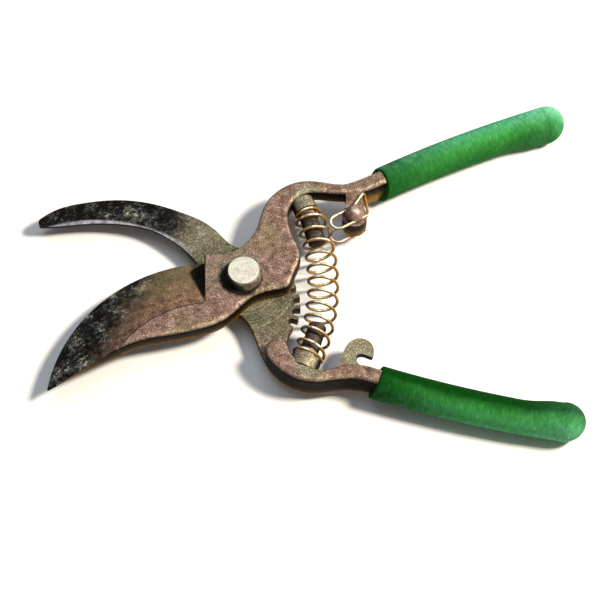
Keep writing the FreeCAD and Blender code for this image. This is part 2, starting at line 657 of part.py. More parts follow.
def cut_notches(body, centre, radius):
    """The round-bottomed notches along the heel."""
    half = size("notch_width") / 2
    for count in range(round(size("notch_count"))):
        angle = size("notch_first") - count * size("notch_pitch")
        seat = polar(centre, radius - size("notch_depth") + half, angle)
        mouth = polar(centre, radius + 4.0, angle)
        left, right = [(point[0] + side[0], point[1] + side[1]) for point in (seat,)
                       for side in (polar((0, 0), half, angle + 90), polar((0, 0), half, angle - 90))]
        flare = [(mouth[0] + side[0], mouth[1] + side[1])
                 for side in (polar((0, 0), 1.7 * half, angle + 90), polar((0, 0), 1.7 * half, angle - 90))]
        sketch = flat_sketch(body, f"heel_notch_outline_{count}", PLATE_FOOT)
        sketch.addGeometry(arc(left, polar(seat, half, angle + 180), right), False)
        for start, end in [(right, flare[1]), (flare[1], flare[0]), (flare[0], left)]:
            sketch.addGeometry(segment(start, end), False)
        pocket = body.newObject("PartDesign::Pocket", f"heel_notch_{count}")
        pocket.Profile = sketch
        pocket.Type = "ThroughAll"
        pocket.Reversed = True
    doc.recompute()


def raise_neck(body):
    """The thick neck that rises from the plate and carries the handle."""
    x_end, y_low, y_high = NECK_END
    inner = [(x_end, y_high), (36.0, -37.4), (30.8, -39.0), (27.0, -38.6), (23.0, -36.6), (19.4, -34.0),
             (17.4, -30.6), (16.2, -27.4)]
    nose = [(13.6, -25.8), (10.4, -26.8), (8.4, -29.4), (8.3, -32.2)]
    outer = [(9.9, -35.3), (13.8, -39.6), (20.0, -43.3), (26.9, -44.6), (32.0, -44.1), (37.0, -43.4),
             (x_end, y_low)]
    sketch = flat_sketch(body, "hook_neck_outline", BODY_TOP + " - sizes.handle_thick")
    sketch.addGeometry(spline(inner + nose + outer), False)
    sketch.addGeometry(segment(outer[-1], inner[0]), False)
    pad(body, sketch, "hook_neck", "sizes.handle_thick")
    doc.recompute()
    for name, height in (("hook_neck_upper_edges", body_top_z), ("hook_neck_lower_edges", handle_foot_z)):
        fillet(body, name, "sizes.handle_round", forged_edges(body.Tip.Shape, height))
        doc.recompute()


def add_catch(body):
    """The flat catch hook on the handle, open towards the grips, that holds the latch's bail."""
    beak = size("catch_beak_y")
    sketch = flat_sketch(body, "catch_outline", "sizes.catch_foot")
    side = [(35.9, -38.5), (36.3, -34.0), (37.4, -30.2), (39.2, -26.7), (41.8, -24.5), (45.2, -24.3),
            (47.6, -25.7), (49.0, -28.4)]
    underside = [(48.3, beak - 0.7), (46.4, beak), (44.4, beak + 0.6)]
    throat = [(42.9, beak + 0.1), (42.4, -33.2), (43.6, -35.3), (47.6, -37.2), (47.6, -40.0)]
    sketch.addGeometry(spline(side), False)
    sketch.addGeometry(arc(side[-1], (49.0, beak + 0.9), underside[0]), False)
    sketch.addGeometry(spline(underside + throat[:-1]), False)
    sketch.addGeometry(segment(throat[-2], throat[-1]), False)
    sketch.addGeometry(segment(throat[-1], side[0]), False)
    pad(body, sketch, "catch_hook", "sizes.catch_thick")
    doc.recompute()


def cut_keyed_bore(body):
    """The hole with two flats that keeps the bolt from turning in the hook arm."""
    radius = size("shank_dia") / 2 + size("running_gap")
    flat = size("shank_flats") / 2 + size("running_gap")
    reach = math.sqrt(radius ** 2 - flat ** 2)
    sketch = flat_sketch(body, "keyed_bore_outline", PLATE_FOOT)
    for side in (1, -1):
        start, end = (-side * reach, side * flat), (-side * reach, -side * flat)
        sketch.addGeometry(arc(start, (-side * radius, 0), end), False)
        sketch.addGeometry(segment(end, (side * reach, -side * flat)), False)
    pocket = body.newObject("PartDesign::Pocket", "keyed_bore")
    pocket.Profile = sketch
    pocket.Type = "ThroughAll"
    pocket.Reversed = True
    doc.recompute()


# ---------------------------------------------------------------- pivot hardware

def turned(name, profile, x="0 * sizes.nut_thick", y="0 * sizes.nut_thick"):
    """A body turned about an upright axis from (radius, height) points; three-point arcs as triples."""
    body = doc.addObject("PartDesign::Body", name)
    body.setExpression("Placement.Base.x", x)
    body.setExpression("Placement.Base.y", y)
    sketch = body.newObject("Sketcher::SketchObject", name + "_profile")
    sketch.AttachmentSupport = (origin_plane(body, "XZ_Plane"), [""])
    sketch.MapMode = "FlatFace"
    corners = [part if isinstance(part[0], tuple) else (part,) for part in profile]
    for here, following in zip(corners, corners[1:] + corners[:1]):
        if len(here) == 3:
            sketch.addGeometry(arc(*here), False)
        if math.dist(here[-1], following[0]) > 1e-6:
            sketch.addGeometry(segment(here[-1], following[0]), False)
    revolution = body.newObject("PartDesign::Revolution", name + "_turned")
    revolution.Profile = sketch
    revolution.ReferenceAxis = (sketch, ["V_Axis"])
    revolution.Angle = WHOLE_TURN
    doc.recompute()
    return body


def dome(radius, height, rise):
    """Three points of the round top over a brim of a radius, from the brim to the axis."""
    ball = (radius ** 2 + rise ** 2) / (2 * abs(rise))
    middle = height + rise - math.copysign(ball, rise)
    half = math.asin(radius / ball) / 2 if abs(rise) < ball else math.pi / 4
    return ((radius, height), (ball * math.sin(half), middle + math.copysign(ball * math.cos(half), rise)),
            (0, height + rise))


def build_bolt():
    """The pivot bolt: a flat bevelled head, a round shank, two flats in the hook arm, a thread."""
    head, bevel, top = size("head_dia") / 2, size("head_bevel"), body_top_z + size("head_rise")
    shank, thread = size("shank_dia") / 2, size("thread_dia") / 2
    foot = size("thread_inset")
    body = turned("pivot_bolt", [
        (0, foot), (thread - bevel, foot), (thread, foot + bevel), (thread, plate_foot_z),
        (shank, plate_foot_z), (shank, body_top_z), (head - bevel / 2, body_top_z),
        (head, body_top_z + bevel / 2), (head, top - bevel), (head - bevel, top), (0, top)])
    flat = size("shank_flats") / 2
    for side in (1, -1):
        sketch = flat_sketch(body, f"bolt_flat_outline_{side + 1}", PLATE_FOOT)
        corners = [(-shank - 1, side * flat), (shank + 1, side * flat), (shank + 1, side * (shank + 1)),
                   (-shank - 1, side * (shank + 1))]
        for start, end in zip(corners, corners[1:] + corners[:1]):
            sketch.addGeometry(segment(start, end), False)
        pocket = body.newObject("PartDesign::Pocket", f"bolt_flat_{side + 1}")
        pocket.Profile = sketch
        pocket.Reversed = True
        pocket.setExpression("Length", "sizes.plate_thick")
    doc.recompute()
    return body


def build_nut():
    """The thin hexagonal nut under the hook arm, with its corners turned off on both faces."""
    height, flats = size("nut_thick"), size("nut_flats")
    corner = flats / math.sqrt(3)
    prism = doc.addObject("Part::Prism", "nut_prism")
    prism.Polygon = 6
    prism.setExpression("Circumradius", "sizes.nut_flats / sqrt(3)")
    prism.setExpression("Height", "sizes.nut_thick")
    rise = (corner - flats / 2) * math.tan(math.radians(30))
    hole = size("thread_dia") / 2 + size("running_gap")
    face, rim, slope = flats / 2 - 0.2, corner + 0.2, rise + 0.2
    blank = turned("nut_blank", [(hole, 0), (face, 0), (rim, slope), (rim, height - slope), (face, height),
                                 (hole, height)])
    nut = doc.addObject("Part::Common", "pivot_nut")
    nut.Base = prism
    nut.Tool = blank
    doc.recompute()
    return nut


def build_washer():
    """The plain washer between the nut and the hook arm."""
    foot, top = size("nut_thick"), plate_foot_z
    inner, outer = size("thread_dia") / 2 + size("washer_play"), size("washer_dia") / 2
    return turned("pivot_washer", [(inner, foot), (outer, foot), (outer, top), (inner, top)])


# ---------------------------------------------------------------- main spring

# Points of the wire's axis on each turn.
SPRING_STEPS = 12
# The pitch of the end turns, as a share of the pitch in the middle.
END_PACE = 0.25
# How many turns the spring takes to close on the upper stub.
CLOSING_TURNS = 1.4


def build_spring():
    """The coil spring, bowed over the two stubs, with close end turns."""
    half = math.radians(size("spring_half_angle"))
    wide, narrow = size("spring_dia") / 2, size("spring_end_dia") / 2
    steps = SPRING_STEPS
    count = round(size("spring_turns") * steps)
    pace = []
    for index in range(count):
        from_end = min(index, count - 1 - index) / steps
        pace.append(END_PACE + (1 - END_PACE) * min(1.0, from_end) ** 2)
    total = sum(pace)
    gone, points = 0.0, []
    for index in range(count + 1):
        along = -half + 2 * half * gone / total
        turn = 2 * math.pi * index / steps
        closing = max(0.0, 1.0 - (count - index) / (CLOSING_TURNS * steps))
        coil = wide + (narrow - wide) * closing ** 2 * (3 - 2 * closing)
        reach = size("spring_bow") + coil * math.cos(turn)
        points.append(Vector(size("spring_centre_x") + reach * math.cos(along),
                             size("spring_centre_y") + reach * math.sin(along),
                             size("spring_height") + coil * math.sin(turn)))
        gone += pace[index] if index < count else 0.0
    curve = Part.BSplineCurve()
    curve.interpolate(points)
    path = Part.Wire([curve.toShape()])
    ring = Part.Wire([Part.Circle(points[0], curve.tangent(0.0)[0], size("spring_wire") / 2).toShape()])
    spring = doc.addObject("Part::Feature", "main_spring")
    spring.Shape = path.makePipeShell([ring], True, True)
    return spring


# ---------------------------------------------------------------- latch

def build_rivet():
    """The latch's rivet: a domed head above, a shank, and a small closing head below."""
    shank = size("rivet_dia") / 2
    lug_foot = parting_z - size("lug_drop")
    lug_top = lug_foot + size("lug_thick")
    room = size("latch_washer_thick") + size("bail_wire") + 2 * size("bail_gap")
    head, rise = size("rivet_head_dia") / 2, size("rivet_head_rise")
    tail, fall = size("rivet_tail_dia") / 2, size("rivet_tail_rise")
    top, foot = lug_top + room, lug_foot - room
    brim = 0.3
    return turned("latch_rivet", [
        dome(tail, foot - brim, brim - fall)[::-1], (tail, foot), (shank, foot), (shank, top), (head, top),
        dome(head, top + brim, rise - brim)], "sizes.rivet_x", "sizes.rivet_y")


def build_latch_washers():
    """The two thin washers that lie on the lug's faces and turn with the bail."""
    lug_foot = parting_z - size("lug_drop")
    faces = [(lug_foot + size("lug_thick"), 1), (lug_foot, -1)]
    rings = []
    for face, side in faces:
        thick = size("latch_washer_thick")
        outer = Part.makeCylinder(size("latch_washer_dia") / 2, thick)
        inner = Part.makeCylinder(size("rivet_dia") / 2 + size("running_gap"), thick)
        ring = outer.cut(inner)
        ring.translate(Vector(size("rivet_x"), size("rivet_y"), face if side > 0 else face - thick))
        rings.append(ring)
    washers = doc.addObject("Part::Feature", "latch_washers")
    washers.Shape = Part.makeCompound(rings)
    return washers


def bent_path(corners):
    """A wire of straight runs and tangent bends: (point, bend radius) for each corner."""
    points = [point for point, _ in corners]
    edges = []
    here = points[0]
    for before, (corner, radius), after in zip(points, corners[1:], points[2:]):
        back, on = (before - corner).normalize(), (after - corner).normalize()
        half = back.getAngle(on) / 2
        reach = radius / math.tan(half)
        middle = corner + (back + on).normalize() * (radius / math.sin(half))
        start, end = corner + back * reach, corner + on * reach
        nearest = middle + (corner - middle).normalize() * radius
        if (start - here).Length > 1e-4:
            edges.append(Part.LineSegment(here, start).toShape())
        edges.append(Part.Arc(start, nearest, end).toShape())
        here = end
    edges.append(Part.LineSegment(here, points[-1]).toShape())
    return Part.Wire(edges)


def build_bail():
    """The latch's wire bail: one wire, a long loop above the lug, a corner post, a loop below."""
    lug_foot = parting_z - size("lug_drop")
    clear = size("latch_washer_thick") + size("bail_gap") + size("bail_wire") / 2
    upper, lower = lug_foot + size("lug_thick") + clear, lug_foot - clear
    side = (size("bail_slot") + size("bail_wire")) / 2
    back, front, ends = size("bail_back"), size("bail_front"), size("bail_ends")
    bend = size("bail_corner")
    corners = [
        (Vector(ends, -side, upper), 0), (Vector(-back, -side, upper), side),
        (Vector(-back, side, upper), side), (Vector(size("bail_spread"), side, upper), size("bail_ease")),
        (Vector(front, side + size("bail_splay"), upper), bend),
        (Vector(front, side, lower), bend), (Vector(-back, side, lower), side),
        (Vector(-back, -side, lower), side), (Vector(ends, -side, lower), 0)]
    path = bent_path(corners)
    ring = Part.Wire([Part.Circle(corners[0][0], Vector(1, 0, 0), size("bail_wire") / 2).toShape()])
    shape = path.makePipeShell([ring], True, True)
    bail = doc.addObject("Part::Feature", "latch_bail")
    bail.Shape = shape
    bail.Placement = Placement(Vector(size("rivet_x"), size("rivet_y"), 0), Rotation(UP, size("bail_angle")))
    return bail


# ---------------------------------------------------------------- the whole tool

nodes = [build_hook_arm(), build_grip("hook_grip", lower_line), build_bolt(), build_nut(), build_washer(),
         build_blade_arm(), build_grip("blade_grip", upper_line), build_rivet(), build_latch_washers(),
         build_bail(), build_spring()]
doc.recompute()

for part in doc.Objects:
    if {"Invalid", "Error"} & set(part.State):
        raise RuntimeError(f"{part.Name} did not build: {part.State}")
os.makedirs("parts", exist_ok=True)
for node in nodes:
    if node.Shape.isNull() or not node.Shape.isValid():
        raise RuntimeError(f"{node.Name} has no valid shape")
    node.Shape.exportStep(f"parts/{node.Name}.step")
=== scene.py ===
"""Old forged bypass pruning shears, lying open: finishes, the bowed spring, a plain studio.

Everything is in metres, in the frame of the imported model: the pivot's axis is Z, the shears lie on
Z = 0, the jaws point to -X and the handles to +X.
"""

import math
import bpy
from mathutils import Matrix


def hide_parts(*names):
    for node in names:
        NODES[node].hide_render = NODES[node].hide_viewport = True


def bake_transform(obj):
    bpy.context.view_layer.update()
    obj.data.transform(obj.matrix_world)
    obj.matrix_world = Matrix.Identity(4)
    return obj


bl_info = {
    "name": "Forged Pruning Shears",
    "version": (1, 0, 0),
    "blender": (4, 5, 0),
    "location": "View3D > Sidebar > Shears",
    "description": "Finishes a pair of old forged pruning shears and lights them on a plain floor",
    "category": "Object",
}

import bpy

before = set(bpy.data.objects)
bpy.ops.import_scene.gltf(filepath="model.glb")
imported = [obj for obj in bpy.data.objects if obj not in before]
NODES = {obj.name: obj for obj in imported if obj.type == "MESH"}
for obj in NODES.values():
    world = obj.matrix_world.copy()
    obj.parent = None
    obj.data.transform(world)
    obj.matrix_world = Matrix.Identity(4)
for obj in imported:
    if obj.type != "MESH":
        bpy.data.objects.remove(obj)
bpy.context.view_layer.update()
MM = 0.001

# A Mix node's two colour inputs and its colour output. Its input 0 is how much of OVER there is.
MIX, OVER, MIXED = 6, 7, 2
# What take says to get all of a node's outputs.
ALL = None
# Settings that many nodes share.
RGB = {"data_type": "RGBA", "take": MIXED}
OVERLAY = {**RGB, "blend_type": "OVERLAY"}
TIMES = {**RGB, "blend_type": "MULTIPLY"}
SMOOTH = {"interpolation_type": "SMOOTHSTEP"}
# A place times this is the same place without its height.
FROM_ABOVE = (1, 1, 0)

# The blade's cutting edge is an arc, and its hollow ends at a shorter reach from the same centre.
EDGE_CENTRE = (-11.6 * MM, -52.1 * MM, 0)
EDGE_REACH = 61.9 * MM
HOLLOW_REACH = 40.9 * MM
SHOULDER_X = -14.6 * MM
# The arc that the concave edge of the hook jaw nearly follows.
RIM_CENTRE = (-58.1 * MM, -29.1 * MM, 0)
RIM_REACH = 57.7 * MM

# Where each arm's patina is rubbed off: within a reach of a place near the pivot, and then less
# and less over the fade. Noise moves the limit.
BLADE_BARE, BLADE_BARE_REACH = (-4 * MM, 4 * MM, 14 * MM), 10 * MM
HOOK_BARE, HOOK_BARE_REACH = (-8 * MM, 6 * MM, 8 * MM), 38 * MM
BARE_FADE = 17 * MM
# Small patches rubbed bare, and where they end and are full: where the spring bears on each arm,
# and where the bail meets the catch.
RUBBED_REACH = (9.5 * MM, 7.5 * MM)
UPPER_SEAT = (24.4 * MM, 36 * MM, 12 * MM)
LOWER_SEAT = (24.4 * MM, -37 * MM, 12 * MM)
CATCH = (43 * MM, -31 * MM, 9.5 * MM)
# The height at which each arm's walls begin to darken from a painted golden floor reflection to
# painted black shade, and how far that goes.
BLADE_UNDERSIDE, HOOK_UNDERSIDE = 9.5 * MM, 5 * MM
WALL_RISE = 7 * MM
# The painted shade on the stubs, where the coils shade them, comes in between these distances from
# the middle line, and between these X on either side.
STUB_Y = (30.5 * MM, 28.5 * MM)
STUB_X = ((20 * MM, 23 * MM), (34 * MM, 32 * MM))

# Sap on each jaw: a place where it ends, the way onwards into it, and how softly it ends.
BLADE_SAP = ((-40 * MM, -12 * MM, 0), (-0.913, 0.407, 0), 10 * MM)
HOOK_SAP = ((-24 * MM, 22 * MM, 0), (-0.87, 0.5, 0), 9 * MM)
# How far the noise tears the end of the sap to and fro.
SAP_RAGGED = 34 * MM
# The sap along the cutting edge comes in between these X.
EDGE_SAP_X = (-18 * MM, -42 * MM)
# Two slanting lines bound the painted shadow under the shoulder: inside, X plus a slope times Y is
# more than each limit. The lines meet in a bend, and the painted shadow comes in between these
# distances from them.
CORNER_LINES = ((0.44, -19.2 * MM), (-1.3, -28.5 * MM))
CORNER_BEND = 2 * MM
CORNER_SOFT = (-0.8 * MM, 0.5 * MM)
# The dark line round the hollow is full within the first of these distances, gone at the second.
LINE_WIDTH = (0.15 * MM, 0.55 * MM)
# The middle of the disc of painted shadow under the bolt's head, set off towards -X so that it shows
# as a crescent there, and the reach where it ends and is full.
BOLT_SHADOW_SPOT = (-1.1 * MM, -0.4 * MM, 0)
BOLT_SHADOW_REACH = (9.6 * MM, 8.5 * MM)
# The scratches on the hook arm's plate: their spacing, and from where to where they fade.
SCRATCH_SPACING = 0.8 * MM
SCRATCH_REACH = (24 * MM, 30 * MM)
# The polish on the jaw's rim comes in between these X, and ends between these distances from the
# rim's arc.
RIM_X = (-20 * MM, -30 * MM)
RIM_WIDTH = (2.5 * MM, 1.6 * MM)

# The spacing of the rings that a lathe leaves, drawn coarser than real ones so that they show.
RING_SPACING = 0.8 * MM

# Each grip: the middle of its mouth, its angle, the Y side that faces away from the other grip,
# how far outward the inner side's deep green and painted shade reach, -1 to 1, and how deep they
# are.
GRIPS = (
    ("blade_grip", (52.6 * MM, 44.9 * MM, 0), math.radians(23.5), 1.0, -0.45, 0.75),
    ("hook_grip", (49.6 * MM, -41.9 * MM, 0), math.radians(-13.5), -1.0, 0.6, 1.0),
)
# Along a grip from its mouth: where its deep green and painted shade fade, and where the chalky
# bloom and painted highlight of the end come in.
MOUTH_SHADE = (-2 * MM, 46 * MM)
CHALK_AND_HIGHLIGHT_END = (62 * MM, 98 * MM)

# The spring's points closer than this become one, and its edges sharper than this stay sharp.
WELD_REACH = 0.001 * MM
SHARP_ANGLE = math.radians(50)

FLOOR_SIZE = 6
FLOOR_PLACE = (0, 0, -0.1 * MM)
# Each area light: its name, which its power's setting has too, its place, width and colour.
LIGHTS = (
    ("key", (0.67, -0.02, 0.82), 0.2, "#fff5e6"),
    ("sky", (-0.1, 0.3, 0.95), 0.8, "#e4eeff"),
)
# The even light from all round.
AIR_COLOUR, AIR_STRENGTH = "#f2f3f5", 0.22
CAMERA_PLACE = (21.3 * MM, -377.5 * MM, 678.1 * MM)
SENSOR_WIDTH = 36
NEAR_CLIP = 0.01

# sRGB's curve: straight up to the knee, a power above it.
SRGB_KNEE, SRGB_SLOPE, SRGB_OFFSET, SRGB_POWER = 0.04045, 12.92, 0.055, 2.4


def linear(code):
    """An sRGB hex colour as the linear colour that a shader socket takes."""
    colour = []
    for place in (1, 3, 5):
        part = int(code[place:place + 2], 16) / 255
        if part <= SRGB_KNEE:
            colour.append(part / SRGB_SLOPE)
        else:
            colour.append(((part + SRGB_OFFSET) / (1 + SRGB_OFFSET)) ** SRGB_POWER)
    return (*colour, 1.0)


def add(tree, kind, inputs=None, stops=None, take=0, **settings):
    """Adds a shader node with its settings, its ramp's colours, and its inputs' values or links.

    It returns the output that take numbers or names, or all of them.
    """
    made = tree.nodes.new("ShaderNode" + kind)
    for name, value in settings.items():
        setattr(made, name, value)
    for socket, value in (inputs or {}).items():
        if isinstance(value, bpy.types.NodeSocket):
            tree.links.new(value, made.inputs[socket])
        else:
            made.inputs[socket].default_value = value
    if stops:
        ramp = made.color_ramp
        ramp.elements[0].position, ramp.elements[-1].position = stops[0][0], stops[-1][0]
        for place, _ in stops[1:-1]:
            ramp.elements.new(place)
        for element, (_, colour) in zip(ramp.elements, stops):
            element.color = linear(colour)
    return made.outputs if take is ALL else made.outputs[take]


def start_material(name):
    """An empty material, its node tree, and the place and the normal of a point on the object."""
    material = bpy.data.materials.new(name)
    material.use_nodes = True
    tree = material.node_tree
    tree.nodes.clear()
    here = add(tree, "TexCoord", take=ALL)
    return material, tree, here["Object"], here["Normal"]


def finish_material(tree, colour, metallic, roughness, height, depth, **more):
    """The surface shader: a colour, a roughness and a height map whose full depth is in metres."""
    bump = add(tree, "Bump", {"Height": height, "Distance": depth, "Strength": 1.0})
    surface = add(tree, "BsdfPrincipled", {"Base Color": colour, "Metallic": metallic,
                                           "Roughness": roughness, "Normal": bump, **more})
    add(tree, "OutputMaterial", {"Surface": surface}, take=ALL)


# ---------------------------------------------------------------- sizes and colours


# What the settings of each kind have in common.
COLOUR = {"subtype": "COLOR", "size": 4, "min": 0, "max": 1}
WIDTH = {"subtype": "DISTANCE", "unit": "LENGTH"}
PLACE = {"subtype": "TRANSLATION", "unit": "LENGTH", "size": 3}
POWER = {"subtype": "POWER", "unit": "POWER", "min": 0, "max": 200}


class ForgingFinish(bpy.types.PropertyGroup):
    """The two forged arms."""

    patina: bpy.props.FloatVectorProperty(
        name="Patina", description="Warm brown patina of the handled forging",
        default=linear("#967a6c"), **COLOUR)
    bare: bpy.props.FloatVectorProperty(
        name="Bare steel", description="Grey-green steel where the patina is rubbed off",
        default=linear("#8f8b74"), **COLOUR)
    scale: bpy.props.FloatVectorProperty(
        name="Forging scale", description="Dark scale left on the side walls",
        default=linear("#2b1d12"), **COLOUR)
    sap: bpy.props.FloatVectorProperty(
        name="Sap", description="Black sap dried on the jaws",
        default=linear("#1a1918"), **COLOUR)
    mottle: bpy.props.FloatProperty(
        name="Mottle", description="Width of a patch in the patina",
        default=3.2 * MM, min=1 * MM, max=20 * MM, **WIDTH)
    grain: bpy.props.FloatProperty(
        name="Grain", description="Width of a pit left by the forging",
        default=0.4 * MM, min=0.1 * MM, max=3 * MM, **WIDTH)


class GripFinish(bpy.types.PropertyGroup):
    """The dipped grips."""

    vinyl: bpy.props.FloatVectorProperty(
        name="Vinyl", description="Green of the dipped vinyl",
        default=linear("#419f49"), **COLOUR)
    # Deep green, partly unfaded vinyl and partly painted shade on the inner sides and near the
    # collars.
    deep: bpy.props.FloatVectorProperty(
        name="Deep green", description="Unfaded vinyl near the collars and on the inner sides",
        default=linear("#04430a"), **COLOUR)
    # Faded green, partly wear and partly a painted sheen on the outer sides.
    faded_and_sheen: bpy.props.FloatVectorProperty(
        name="Faded green", description="Bluish green where the palm and the fingers rub",
        default=linear("#50b07c"), **COLOUR)
    # Chalk, partly a bloom and partly a painted highlight on the ends.
    chalk_and_highlight: bpy.props.FloatVectorProperty(
        name="Chalk", description="Pale bloom on the swollen ends",
        default=linear("#8ad6b4"), **COLOUR)
    streak: bpy.props.FloatProperty(
        name="Streak", description="Width of a streak round the grip",
        default=0.7 * MM, min=0.2 * MM, max=4 * MM, **WIDTH)


class SpringShape(bpy.types.PropertyGroup):
    """The bowed spring between the handles."""

    lower_seat: bpy.props.FloatVectorProperty(
        name="Lower seat", description="Middle of the spring's end on the hook arm",
        default=(24.1 * MM, -32.0 * MM, 10.5 * MM), **PLACE)
    upper_seat: bpy.props.FloatVectorProperty(
        name="Upper seat", description="Middle of the spring's end on the blade arm",
        default=(24.1 * MM, 31.0 * MM, 10.5 * MM), **PLACE)


class Studio(bpy.types.PropertyGroup):
    """The floor, the lights and the camera."""

    floor: bpy.props.FloatVectorProperty(
        name="Floor", description="Colour of the floor",
        default=linear("#e9e8e5"), **COLOUR)
    key: bpy.props.FloatProperty(
        name="Key light", description="Power of the light that casts the shadows",
        default=18.5, **POWER)
    sky: bpy.props.FloatProperty(
        name="Sky light", description="Power of the wide light that fills the shadows",
        default=3.5, **POWER)
    tilt: bpy.props.FloatProperty(
        name="Camera tilt", description="Tilt of the camera from straight down",
        subtype="ANGLE", unit="ROTATION", default=math.radians(29), min=0, max=math.radians(90))
    lens: bpy.props.FloatProperty(
        name="Lens", description="Focal length of the camera, in millimetres",
        default=120, min=20, max=300)


# ---------------------------------------------------------------- finishes


def forged_skin(tree, spot, normal, bare_spot, bare_reach, rubbed_spots, underside):
    """Patina, bare steel, scale, grain and painted light and shade of a forging: its colour, and
    masks for other layers.

    The patina is rubbed off as far as bare_reach from bare_spot, and in a small patch at each of
    rubbed_spots. underside is the height at which the walls begin to darken from a painted golden
    floor reflection to painted black shade.
    """
    finish = bpy.context.scene.shears_forging
    patches = add(tree, "TexNoise", {"Vector": spot, "Scale": 1 / finish.mottle, "Detail": 8.0,
                                     "Roughness": 0.74, "Distortion": 0.3})
    broad = add(tree, "TexNoise", {"Vector": spot, "Scale": 1 / (14 * MM), "Detail": 3.0,
                                   "Roughness": 0.6, "Distortion": 0.5})
    tinge = add(tree, "TexNoise", {"Vector": spot, "Scale": 1 / (0.6 * MM), "Detail": 4.0,
                                   "Roughness": 0.7})
    hue = add(tree, "Math", {0: tinge, 1: 1.3, 2: broad}, operation="MULTIPLY_ADD")
    grain = add(tree, "TexNoise", {"Vector": spot, "Scale": 1 / finish.grain, "Detail": 4.0,
                                   "Roughness": 0.7})
    # Patina between mauve and khaki.
    mauve = add(tree, "ValToRGB", {"Fac": patches}, stops=(
        (0.28, "#3c2a25"), (0.42, "#80645a"), (0.53, "#ae8d82"), (0.64, "#caaca4"),
        (0.76, "#ecdfdb")))
    khaki = add(tree, "ValToRGB", {"Fac": patches}, stops=(
        (0.28, "#47401f"), (0.42, "#827648"), (0.53, "#a49a70"), (0.64, "#b8b18c"),
        (0.76, "#d6d2ba")))
    hue = add(tree, "MapRange", {"Value": hue, "From Min": 1.1, "From Max": 1.42})
    patina = add(tree, "Mix", {0: hue, MIX: mauve, OVER: khaki}, **RGB)
    patina = add(tree, "Mix", {0: 0.2, MIX: patina, OVER: tuple(finish.patina)}, **RGB)
    # Bare steel near the pivot and in the rubbed patches.
    cool = add(tree, "ValToRGB", {"Fac": patches}, stops=(
        (0.28, "#605e48"), (0.44, "#9a977a"), (0.58, "#b6b498"), (0.72, "#d6d5c2")))
    cool = add(tree, "Mix", {0: 0.3, MIX: cool, OVER: tuple(finish.bare)}, **RGB)
    bare = add(tree, "VectorMath", {0: spot, 1: bare_spot}, operation="DISTANCE", take="Value")
    bare = add(tree, "Math", {0: patches, 1: 24 * MM, 2: bare}, operation="MULTIPLY_ADD")
    bare = add(tree, "MapRange", {"Value": bare, "From Min": bare_reach,
                                  "From Max": bare_reach + BARE_FADE, "To Min": 0.9,
                                  "To Max": 0.0}, **SMOOTH)
    for place in rubbed_spots:
        patch = add(tree, "VectorMath", {0: spot, 1: place}, operation="DISTANCE", take="Value")
        patch = add(tree, "Math", {0: patches, 1: 4 * MM, 2: patch}, operation="MULTIPLY_ADD")
        patch = add(tree, "MapRange", {"Value": patch, "From Min": RUBBED_REACH[0],
                                       "From Max": RUBBED_REACH[1]})
        bare = add(tree, "Math", {0: bare, 1: patch}, operation="MAXIMUM")
    top = add(tree, "Mix", {0: bare, MIX: patina, OVER: cool}, **RGB)
    # Side walls: painted black shade above and a painted golden reflection of the floor towards the
    # underside, with a little of the dark scale mixed in.
    facing_key, _, upright = add(tree, "SeparateXYZ", {0: normal}, take=ALL)
    across, up, height = add(tree, "SeparateXYZ", {0: spot}, take=ALL)
    glow_to_shade = add(tree, "Math", {0: patches, 1: 4 * MM, 2: height}, operation="MULTIPLY_ADD")
    glow_to_shade = add(tree, "MapRange", {"Value": glow_to_shade, "From Min": underside,
                                 "From Max": underside + WALL_RISE})
    wall_shade_and_glow = add(tree, "ValToRGB", {"Fac": glow_to_shade}, stops=(
        (0.0, "#b98a30"), (0.34, "#856226"), (0.56, "#3f2c14"), (0.78, "#140d08"),
        (1.0, "#0c0806")))
    wall_shade_and_glow = add(tree, "Mix", {0: 0.08, MIX: wall_shade_and_glow, OVER: tuple(finish.scale)}, **RGB)
    lying = add(tree, "MapRange", {"Value": upright, "From Min": 0.32, "From Max": 0.9}, **SMOOTH)
    under = add(tree, "MapRange", {"Value": upright, "From Min": -0.9, "From Max": -0.98})
    lying = add(tree, "Math", {0: lying, 1: under}, operation="MAXIMUM")
    colour = add(tree, "Mix", {0: lying, MIX: wall_shade_and_glow, OVER: top}, **RGB)
    # The rounded edges are rubbed pale, and a painted highlight makes them paler where they face the
    # key light at +X and fainter where they face away.
    rounded = add(tree, "ValToRGB", {"Fac": upright}, stops=(
        (0.5, "#000000"), (0.75, "#ffffff"), (0.93, "#ffffff"), (0.995, "#000000")))
    wear_and_highlight = add(tree, "MapRange", {"Value": patches, "From Min": 0.42, "From Max": 0.62,
                                  "To Min": 0.05, "To Max": 0.6})
    wear_and_highlight = add(tree, "Math", {0: wear_and_highlight, 1: rounded}, operation="MULTIPLY")
    key_side_highlight = add(tree, "MapRange", {"Value": facing_key, "From Min": -0.3, "From Max": 0.4,
                                     "To Min": 0.3, "To Max": 1.35})
    wear_and_highlight = add(tree, "Math", {0: wear_and_highlight, 1: key_side_highlight}, operation="MULTIPLY")
    colour = add(tree, "Mix", {0: wear_and_highlight, MIX: colour, OVER: linear("#dad0b0")}, **RGB)
    # Painted shade: the stub inside the spring is darkened nearly black where the coils shade it.
    stub_shade = add(tree, "Math", {0: up}, operation="ABSOLUTE")
    stub_shade = add(tree, "MapRange", {"Value": stub_shade, "From Min": STUB_Y[0], "From Max": STUB_Y[1],
                                  "To Max": 0.72})
    for begin, end in STUB_X:
        within = add(tree, "MapRange", {"Value": across, "From Min": begin, "From Max": end})
        stub_shade = add(tree, "Math", {0: stub_shade, 1: within}, operation="MULTIPLY")
    colour = add(tree, "Mix", {0: stub_shade, MIX: colour, OVER: linear("#1c130c")}, **RGB)
